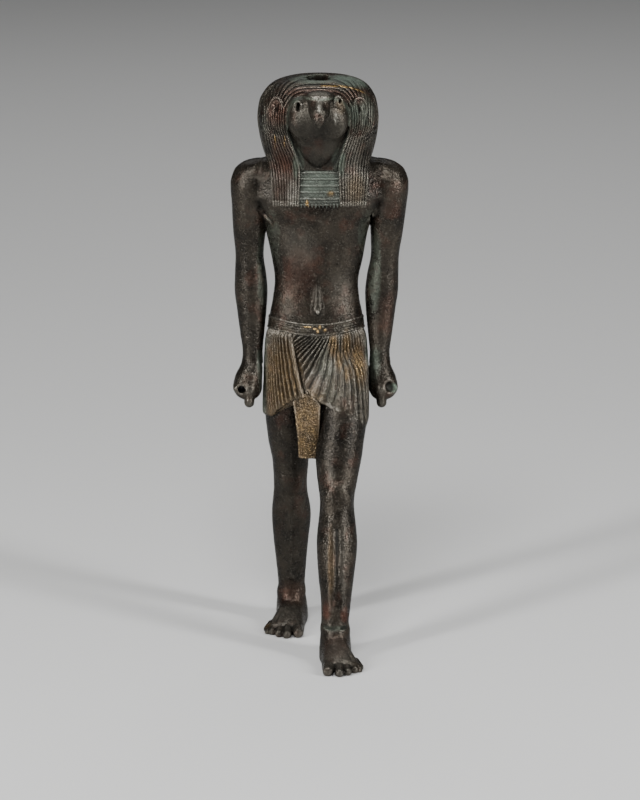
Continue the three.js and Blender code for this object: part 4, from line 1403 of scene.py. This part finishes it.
@dataclass
class Kilt:
    """The wrapped kilt: a core with its belt, three pleated panels and the hanging tab."""

    belt_top: float = 148.1
    belt_height: float = 5.6
    belt_tilt: float = 1.5
    belt_lip: float = 0.4
    belt_face: float = 0.05
    overlap_top: float = -30.0
    overlap_low: float = -10.2
    overlap_raise: float = 0.5
    side_turn: float = 95.0
    pleat_depth: float = 1.15
    core_inset: float = 1.5
    panel_inset: float = 3.6
    tab_thickness: float = 3.6
    tab_low: float = 87.1
    tab_high: float = 116.0
    hip_reach: float = 24.0
    side_pleats: int = 17
    fan_pleats: int = 27
    back_pleats: int = 24
    patches: list[Patch] = field(default_factory=lambda: patches_by_kind({
        SurfaceMark.GOLD: [
            (-18, -12, 121, 12, 14, 22, 0.55), (-14, -15, 120, 6, 8, 10, 0.58),
            (5.5, -15, 138, 2.5, 8, 6, 0.62), (11.5, -13, 138, 2.5, 8, 7, 0.62),
            (8, -15, 131, 2, 8, 5, 0.6), (17, -12, 129, 4, 9, 14, 0.62), (12, -16, 126, 2.5, 8, 4, 0.5),
            (-21, -8, 106, 5, 9, 7, 0.55), (-6.3, -13.6, 146.6, 2.1, 2, 0.5, 1.5),
            (-2.9, -14, 145.9, 1.1, 2, 0.5, 1.5), (-0.6, -14, 146.6, 0.7, 2, 1.1, 1.5),
            (-1.6, -14, 144.6, 0.7, 2, 1.1, 1.5), (1.7, -14.3, 145.2, 1.1, 2, 0.9, 1.5),
            (-6.2, -20, 100, 9, 9, 24, 0.62),
        ],
        # Painted highlights and pale wear over the front thigh and the middle of the kilt.
        SurfaceMark.WEAR_AND_HIGHLIGHT: [
            (5, -20, 132, 6, 6, 7, 0.3), (-3, -18, 122, 5, 6, 6, 0.25), (4, -27, 104, 3, 6, 10, 0.25),
        ],
        SurfaceMark.GREEN: [
            (-26, 0, 120, 4, 8, 24, 0.5), (22, 0, 120, 4, 9, 26, 0.6), (2, -17, 130, 5, 5, 12, 0.28),
            (5, -20, 118, 5, 5, 8, 0.2),
        ],
    }))

    @property
    def belt_bottom(self) -> float:
        """The height of the belt's lower edge."""
        return self.belt_top - self.belt_height

    def belt_rise(self, turn: Array) -> Array:
        """How much higher the belt lies than in front, by turn."""
        away = np.abs((np.asarray(turn) + 180) % 360 - 180)
        return self.belt_tilt * ease(away, 8, 62) * (1 - 0.6 * ease(away, 62, 95))

    def core(self) -> Surface:
        """The closed body of the kilt, with the belt and its two lips."""
        sides = 280
        turn = np.arange(sides) / sides * 360 - 180
        bottom = self.belt_bottom + self.belt_rise(turn)
        levels = [(mix(HEM(turn)[0], bottom, step), -self.core_inset) for step in np.linspace(0, 1, 14)]
        for step in np.linspace(0, 1, 29):
            lips = math.exp(-((step - 0.09) / 0.075) ** 2) + math.exp(-((step - 0.91) / 0.075) ** 2)
            lips += sum(0.55 * math.exp(-((step - part) / 0.055) ** 2) for part in (0.32, 0.52, 0.71))
            levels.append((bottom + step * self.belt_height, mix(self.belt_face, self.belt_lip, lips)))
        levels.append((bottom + self.belt_height, -0.8))
        rings = np.stack([cloth(turn, z, lift) for z, lift in levels])
        hips = HIPS(self.belt_bottom)
        middle = np.array([float(hips[0]), float(hips[1]), 106.0])
        return hoop(rings, middle, middle + np.array([0, 0, self.belt_top - 106]))

    def panel(self, count: int, rows: int, edge: Callable[[Array], tuple]) -> Surface:
        """A panel of pleats.

        Args:
            count: How many pleats.
            rows: Steps up.
            edge: Gives the turn at the belt, the turn and height at the hem, and the raise, by share across.

        Returns:
            The closed slab.
        """
        def place(across: Array, up: Array, out: float) -> Array:
            """A point of the slab."""
            top, low, end, raised = edge(across)
            turn, z = mix(low, top, up), mix(end, self.belt_bottom + self.belt_rise(top) + 0.3, up)
            if not out:
                return cloth(turn, z, -self.panel_inset)
            wobble = clouds(np.stack([turn * 0.4, z, 0 * z], 1), 9.0, 3) * 0.07
            worn = 1 - 0.55 * np.exp(-((turn - 24) / 17) ** 2) * (1 - ease(z, 108, 128))
            over_thigh = ease(turn, 0, 10) * (1 - ease(turn, 62, 75)) * (1 - ease(z - end, 0, 7))
            depth = self.pleat_depth * worn * (1 - 0.75 * over_thigh)
            lines = (ridge(across * count + wobble, 0.9) - 0.5) * depth
            lines = lines * (1 - 0.6 * ease(up, 0.86, 0.98))
            rolled = 0.25 * (1 - ease(z - end, 0, 0.8)) + 0.8 * over_thigh + 0.6 * ease(up, 0.93, 1)
            return cloth(turn, z, lines + raised - rolled)
        return slab(10 * count, rows, place)

    def side_edge(self, share: Array) -> tuple[Array, Array, Array, Array]:
        """The edges of the panel on the figure's right, which laps over in front."""
        low = mix(-self.side_turn, self.overlap_low, share)
        raised = self.overlap_raise * ease(share, 0.6, 0.95)
        return mix(-self.side_turn, self.overlap_top, share ** 1.4), low, HEM(low)[0], raised

    def front_edge(self, share: Array) -> tuple[Array, Array, Array, Array]:
        """The edges of the wrapped end, whose pleats fan out from the belt."""
        top, low, end = FAN(share * FAN.keys[-1])
        return top, low, end, 0 * share

    def back_edge(self, share: Array) -> tuple[Array, Array, Array, Array]:
        """The edges of the panel behind."""
        turn = mix(self.side_turn - 2.5, 360 - self.side_turn + 2.5, share)
        return turn, turn, HEM(np.where(turn > 180, turn - 360, turn))[0], 0 * share

    def tab(self) -> Surface:
        """The tab that hangs between the thighs, with its rim and its rows of short marks."""
        def place(across: Array, up: Array, out: float) -> Array:
            """A point of the slab."""
            z = mix(self.tab_low, self.tab_high - (2 * across - 1) ** 2 * 4, up)
            x = mix(mix(-10.4, -13.2, up ** 2), mix(-1.7, -0.4, up), across)
            turn = np.degrees(np.arcsin((x + 2.3) / self.hip_reach))
            on_cloth = cloth(turn, z, 0.9)[:, 1]
            hanging = mix(-22, -23.6, across) + (2 * across - 1) ** 2 * 0.7
            face = mix(hanging, on_cloth, ease(z, 97, 114))
            rim = ease(np.abs(2 * across - 1), 0.78, 0.84) * 0.12
            weave = clouds(np.stack([x, 0 * x, z], 1), 2.6, 11)
            marks = ridge(up * 23 + 0.5 * weave) * ridge(across * 8 + 0.8 * weave) * 0.55 * (rim < 0.1)
            return np.stack([x, face - rim - marks + 0.2 if out else face + self.tab_thickness, z], 1)
        return slab(48, 110, place)

    def piece(self) -> Piece:
        """The finished kilt."""
        surface = self.core() + self.panel(self.side_pleats, 44, self.side_edge)
        surface = surface + self.panel(self.fan_pleats, 64, self.front_edge)
        surface = surface + self.panel(self.back_pleats, 24, self.back_edge) + self.tab()
        return Piece("kilt", surface, LINEN, self.patches, 9, (0.03, 0.26))


@dataclass
class Trunk:
    """The bare torso with both arms and fists."""

    step: float = 0.54
    grip_out: float = 34.05
    grip_z: float = 116.0
    grip_radius: float = 1.7
    left_fist_tuck: float = 0.7
    fingers: tuple[float, ...] = (-7.3, -3.9, -0.4, 3.0)
    finger_gaps: tuple[float, ...] = (-5.6, -2.15, 1.3)
    bridge_levels: tuple[float, ...] = (206, 208.5, 211, 213.5)
    bridge_span: tuple[float, float] = (23.5, 31.5)
    bridge_depth: float = 2.3
    bridge_radius: float = 1.9
    breast_line: tuple[Spot, ...] = ((27.3, 202.4, 0.9), (24.5, 197.7, 0.8), (21.4, 194.6, 0.5))
    patches: list[Patch] = field(default_factory=lambda: patches_by_kind({
        SurfaceMark.RED: [(-10, -12, 172, 9, 6, 12, 0.3), (32, -6, 150, 6, 6, 12, 0.3)],
        SurfaceMark.GREEN: [
            (33.2, -8.5, 116.5, 3.0, 3.4, 2.6, 1.0), (9, -15, 219, 4, 5, 3, 0.6),
            (-22, -6, 190, 5, 9, 22, 0.32), (20, -6, 190, 5, 9, 22, 0.32), (-27, -2, 122, 4, 8, 16, 0.5),
            (25, -2, 122, 4, 8, 16, 0.6), (-26, -4, 172, 4, 9, 24, 0.4), (24, -4, 172, 4, 9, 24, 0.4),
        ],
        # Painted highlights on the navel and the belly.
        SurfaceMark.WEAR_AND_HIGHLIGHT: [
            (-1.6, -13.6, 153.4, 1.0, 1.5, 1.0, 0.45), (-10, -13, 183, 9, 6, 11, 0.1),
            (9, -12, 163, 7, 6, 11, 0.1),
        ],
        # Painted shade: on the navel fold and in both armpits.
        SurfaceMark.DARK: [
            (-1.6, -12, 160, 3.4, 4, 6, 0.35), (-27.5, -11, 202, 4, 8, 5.5, 0.6),
            (26.0, -11, 202, 4, 8, 5.5, 0.6),
        ],
    }))

    def shape(self) -> Block:
        """Melts torso, arms and hands together."""
        block = Block((-44, -19, 105.5), (42.5, 18, 227), self.step)
        block.add(Loft(TORSO, 2.2))
        for side in (-1, 1):
            aim = turned(side * 12, side * 18)
            block.add(Ball((-0.9 + side * 14, -6.2, 204.2), (14.4, 8.2, 10.8), aim), 1.5)
        block.add(Ball((-1.2, -4, 219), (15, 8, 9)), 1.0)
        self.carve_chest(block)
        for side in (-1, 1):
            block.add(Loft(ARM, side=side), 0.6)
            self.add_hand(block, side)
            self.bridge_shoulder(block, side)
        return block

    def bridge_shoulder(self, block: Block, side: int) -> None:
        """Fills the line between breast and arm, so that the shoulder runs on smoothly."""
        bridges = []
        for z in self.bridge_levels:
            places = [float(spine(z)) + side * out for out in self.bridge_span]
            bridges.append([(x, block.front(x, z) + self.bridge_depth, z) for x in places])
        for start, end in bridges:
            block.add(Rod(start, end, self.bridge_radius, self.bridge_radius), 1.5)

    def carve_chest(self, block: Block) -> None:
        """The line under each breast, the line down the middle, and the hanging fold of the navel."""
        block.cut(Rod((-1.8, -11.9, 168), (-1.4, -14.9, 191), 0.5, 0.5), 2.4)
        for side in (-1, 1):
            spots = [(-1.2 + side * out, z, radius) for out, z, radius in self.breast_line]
            for (x0, z0, r0), (x1, z1, r1) in zip(spots, spots[1:]):
                block.cut(Rod((x0, block.front(x0, z0), z0), (x1, block.front(x1, z1), z1), r0, r1), 1.5)
            block.cut(Rod((-1.6 + side * 3.7, -11.9, 164), (-1.7 + side * 3.8, -13.2, 153), 0.4, 0.95), 1.2)
        block.add(Rod((-1.6, -10.0, 165), (-1.7, -10.7, 154.8), 1.3, 2.8), 0.8)
        block.add(Ball((-1.6, -13.3, 153.4), (0.9, 0.6, 1.1)), 0.4)
        block.cut(Ball((22.6, 0, 193.0), (0.5, 30, 5.2)), 0.2)

    def fist_table(self, side: int) -> Table:
        """The fist's sections, that on the figure's left tucked in towards the body."""
        rows = np.column_stack([FIST.keys, FIST.values])
        if side > 0:
            rows[:, 1] -= self.left_fist_tuck * (1 - ease(rows[:, 0], 122, 130))
        return Table(rows.tolist())

    def add_hand(self, block: Block, side: int) -> None:
        """A closed fist with its thumb down in front, gripping from front to back."""
        tuck = self.left_fist_tuck if side > 0 else 0

        def at(out: float, y: float, z: float) -> Spot:
            """A place by its distance out from the spine."""
            return float(spine(z)) + side * (out - tuck), y, z
        block.add(Loft(self.fist_table(side), 2.4, side=side), 1.0)
        block.add(Rod(at(29.9, -5.2, 124.5), at(30.3, -8.6, 116), 2.1, 2.5), 1.6)
        block.add(Rod(at(30.3, -8.6, 116), at(30.6, -9.2, 109.9), 2.5, 2.35), 1.0)
        block.add(Ball(at(30.6, -11.2, 110.6), (1.3, 0.6, 1.7)), 0.2)
        for y in self.fingers:
            block.add(Rod(at(35.9, y, 116.2), at(31, y, 112.0), 2.1, 1.9), 0.8)
        for y in self.finger_gaps:
            block.cut(Rod(at(38.4, y, 118), at(31.5, y, 109.4), 0.3, 0.3), 0.5)
        if side < 0:
            start, end = at(self.grip_out, -20, self.grip_z), at(self.grip_out, 15, self.grip_z)
            block.cut(Rod(start, end, self.grip_radius, self.grip_radius), 0.3)
        else:
            block.cut(Ball(at(34.6, -9.0, 117.2), (2.6, 1.9, 2.2), turned(35, -20)), 0.8)

    def piece(self) -> Piece:
        """The finished torso and arms."""
        return Piece("torso_and_arms", self.shape().skin(), SKIN, self.patches, 8, (0.04, 0.3))


@dataclass(frozen=True)
class Toe:
    """A toe: how far outwards, how far its tip reaches, where it leaves the foot, and its radius."""

    out: float
    tip: float
    root: float
    radius: float


@dataclass
class Legs:
    """Both legs from under the kilt to the soles, with knees, shins, ankles, toes and nails."""

    step: float = 0.49
    top: float = 121.0
    toes: tuple[Toe, ...] = (
        Toe(-3.3, 24.5, 15, 2.5), Toe(1.9, 25.6, 16, 2.05), Toe(5.7, 23.6, 14.5, 1.93),
        Toe(8.8, 20.2, 12.5, 1.82), Toe(11.2, 16.4, 10, 1.7),
    )
    feet: tuple[FootForm, ...] = (FootForm(-14, 0, -1, 1), FootForm(6.3, -53, 1, -0.4))
    knees: tuple[tuple[Spot, Spot, float], ...] = (
        ((-14.2, -4.3, 70), (5.2, 2.4, 6.4), 1.8), ((7.2, -35.8, 70.5), (5.8, 2.6, 7.5), 2.6),
    )
    shins: tuple[tuple[Rod, float], ...] = (
        (Rod((-14, -4.7, 62), (-14, -3.1, 24), 1.4, 1.2), 2.5),
        (Rod((4.5, -40.0, 62), (4.5, -53.0, 24.3), 0.8, 1.2), 2.6),
        (Rod((9.8, -39.0, 62), (9.8, -52.4, 24.1), 0.7, 1.1), 2.4),
    )
    shin_groove: tuple[Rod, float] = (Rod((7.1, -43.2, 59), (7.1, -55.4, 26), 0.4, 0.5), 2.4)
    ankle_bones: tuple[Spot, ...] = (
        (-19.0, 1.6, 14.6), (-9.1, 1.4, 15.6), (1.4, -51.6, 15.0), (11.2, -51.6, 14.0),
    )
    crack: tuple[Spot, ...] = (
        (0.2, -53.0, 17.2), (3.6, -56.6, 15.9), (8.2, -57.2, 16.4), (12.6, -52.8, 15.6),
    )
    patches: list[Patch] = field(default_factory=lambda: patches_by_kind({
        SurfaceMark.RED: [
            (2.1, -53.2, 23, 2.6, 3, 4, 0.75), (10.8, -53.5, 21.7, 2.6, 3, 4, 0.75),
            (6.2, -63, 9, 7, 8, 6, 0.25), (-14, 0, 14, 8, 9, 8, 0.3),
        ],
        # Painted shade over the rear leg round the knee.
        SurfaceMark.DARK: [(-14, -2, 58, 14, 18, 40, 0.3)],
        # Painted highlights and pale wear on the toes, the front shin and the front knee.
        SurfaceMark.WEAR_AND_HIGHLIGHT: [
            (7, -68, 8, 9, 12, 7, 0.2), (-14, -14, 6, 10, 12, 6, 0.12), (9.8, -46, 46, 1.3, 10, 22, 0.12),
            (4.8, -34.6, 82, 2, 3, 4, 0.1),
        ],
        SurfaceMark.GOLD: [
            (4.4, -48, 44, 1.6, 10, 20, 0.35), (-24.8, -15.3, 3.2, 2, 2.5, 2, 0.6),
            (6.7, -57, 13.2, 1.6, 1.5, 0.8, 0.7),
        ],
        SurfaceMark.GREEN: [(6.5, -55, 16, 8, 5, 1.6, 0.4)],
    }))

    def shape(self) -> Block:
        """Melts both legs and feet together."""
        block = Block((-29, -80.5, -1), (20.5, 17, self.top + 1.5), self.step)
        block.add(Loft(REAR_LEG)).add(Loft(FRONT_LEG))
        for centre, radii, melt in self.knees:
            block.add(Ball(centre, radii), melt)
        for edge, melt in self.shins:
            block.add(edge, melt)
        block.cut(*self.shin_groove)
        for foot in self.feet:
            self.add_foot(block, foot)
        for centre in self.ankle_bones:
            block.add(Ball(centre, (1.5, 2.2, 2.4)), 1.6)
        for start, end in zip(self.crack, self.crack[1:]):
            block.cut(Rod(start, end, 0.6, 0.6), 0.5)
        return block.above(0).below(self.top)

    def add_foot(self, block: Block, foot: FootForm) -> None:
        """A foot with its five toes and their nails."""
        block.add(foot, 3.4)
        for toe in self.toes:
            radius = toe.radius
            start = (foot.ankle_x + foot.side * toe.out * 0.82, foot.ankle_y - toe.root, 2.6)
            end = (foot.ankle_x + foot.side * toe.out, foot.ankle_y - toe.tip + radius, radius * 0.85)
            block.add(Rod(start, end, radius * 1.05, radius), 0.45)
            nail = (end[0], end[1] - radius * 0.45, end[2] + radius * 0.74)
            block.add(Ball(nail, (radius * 0.6, radius * 0.62, radius * 0.32)), 0.12)
        for one, other in zip(self.toes, self.toes[1:]):
            out, tip = (one.out + other.out) / 2, min(one.tip, other.tip)
            start = (foot.ankle_x + foot.side * out * 0.35, foot.ankle_y - 6.5, 13.4)
            end = (foot.ankle_x + foot.side * out, foot.ankle_y - tip + 4.5, 5.6)
            block.cut(Rod(start, end, 0.5, 0.5), 1.2)

    def piece(self) -> Piece:
        """The finished legs."""
        return Piece("legs_and_feet", self.shape().skin(), SKIN, self.patches, 9, (0.04, 0.3))


@dataclass(frozen=True)
class Lamp:
    """A soft lamp: its place in metres, its width and height, and its power in watts."""

    name: str
    place: Spot
    size: tuple[float, float]
    power: float
    aim: Spot = (0, 0, 0.13)

    def hang(self) -> None:
        """Puts the lamp in the scene."""
        lamp = bpy.data.lights.new(self.name, "AREA")
        lamp.shape, lamp.size, lamp.size_y, lamp.energy = "RECTANGLE", *self.size, self.power
        made = bpy.data.objects.new(self.name, lamp)
        made.location = self.place
        made.rotation_euler = (Vector(self.aim) - Vector(self.place)).to_track_quat("-Z", "Y").to_euler()
        bpy.context.scene.collection.objects.link(made)


@dataclass
class Studio:
    """The plain pale floor, the soft lights and the camera."""

    camera_place: Spot = (0.209, -1868.008, 650.0)
    camera_aim: Spot = (0.209, 31.992, 108.0)
    lens: float = 192.6
    floor_size: float = 12.0
    floor_colour: Colour = colour(208, 208, 207)
    room_colour: Colour = colour(150, 152, 154)
    room_light: float = 0.12
    lamps: tuple[Lamp, ...] = (
        Lamp("above in front", (-0.15, -0.8, 1.25), (0.55, 0.35), 14),
        Lamp("left strip", (-0.9, -0.75, 0.5), (0.13, 0.9), 17),
        Lamp("right strip", (0.95, -0.6, 0.5), (0.13, 0.9), 17),
        Lamp("from behind", (0.0, 1.2, 1.2), (1.4, 0.6), 6, (0, 0, 0.15)),
    )

    def floor(self) -> None:
        """A wide pale floor, which fills the view."""
        half = self.floor_size / 2
        corners = [(-half, -half, 0), (half, -half, 0), (half, half, 0), (-half, half, 0)]
        mesh = bpy.data.meshes.new("floor")
        mesh.from_pydata(corners, [], [(0, 1, 2, 3)])
        material = bpy.data.materials.new("pale floor")
        material.use_nodes = True
        shader = material.node_tree.nodes["Principled BSDF"]
        shader.inputs["Base Color"].default_value = self.floor_colour
        shader.inputs["Roughness"].default_value = 0.85
        mesh.materials.append(material)
        made = bpy.data.objects.new("floor", mesh)
        bpy.context.scene.collection.objects.link(made)

    def camera(self) -> None:
        """The camera at the photograph's angle."""
        lens = bpy.data.cameras.new("camera")
        lens.lens, lens.sensor_width, lens.clip_start, lens.clip_end = self.lens, 36.0, 0.05, 50.0
        made = bpy.data.objects.new("camera", lens)
        place, aim = Vector(self.camera_place) * MILLIMETRE, Vector(self.camera_aim) * MILLIMETRE
        made.location = place
        made.rotation_euler = (aim - place).to_track_quat("-Z", "Y").to_euler()
        bpy.context.scene.collection.objects.link(made)
        bpy.context.scene.camera = made

    def build(self) -> None:
        """Sets everything up."""
        self.floor()
        for lamp in self.lamps:
            lamp.hang()
        world = bpy.data.worlds.new("grey room")
        world.use_nodes = True
        background = world.node_tree.nodes["Background"]
        background.inputs["Color"].default_value = self.room_colour
        background.inputs["Strength"].default_value = self.room_light
        bpy.context.scene.world = world
        self.camera()


def main() -> None:
    """Builds the figure piece by piece, and then the studio round it."""
    logging.basicConfig(level=logging.INFO, format="%(name)s: %(message)s")
    materials = {BEADWORK.name: BEADWORK.build()}
    collar = Collar()
    beads = collar.beads(materials[BEADWORK.name])
    pieces = [
        Head().piece(),
        Lappets().piece(),
        Piece("collar", collar.bands(), BEADWORK, collar.patches, 7, (0.02, 0.2)),
        Piece("drop_beads", beads, BEADWORK, collar.patches, 3, (0.4, 2.0)),
        Trunk().piece(),
        Kilt().piece(),
        Legs().piece(),
    ]
    for piece in pieces:
        piece.publish(materials)
    Studio().build()


if __name__ == "__main__":
    main()
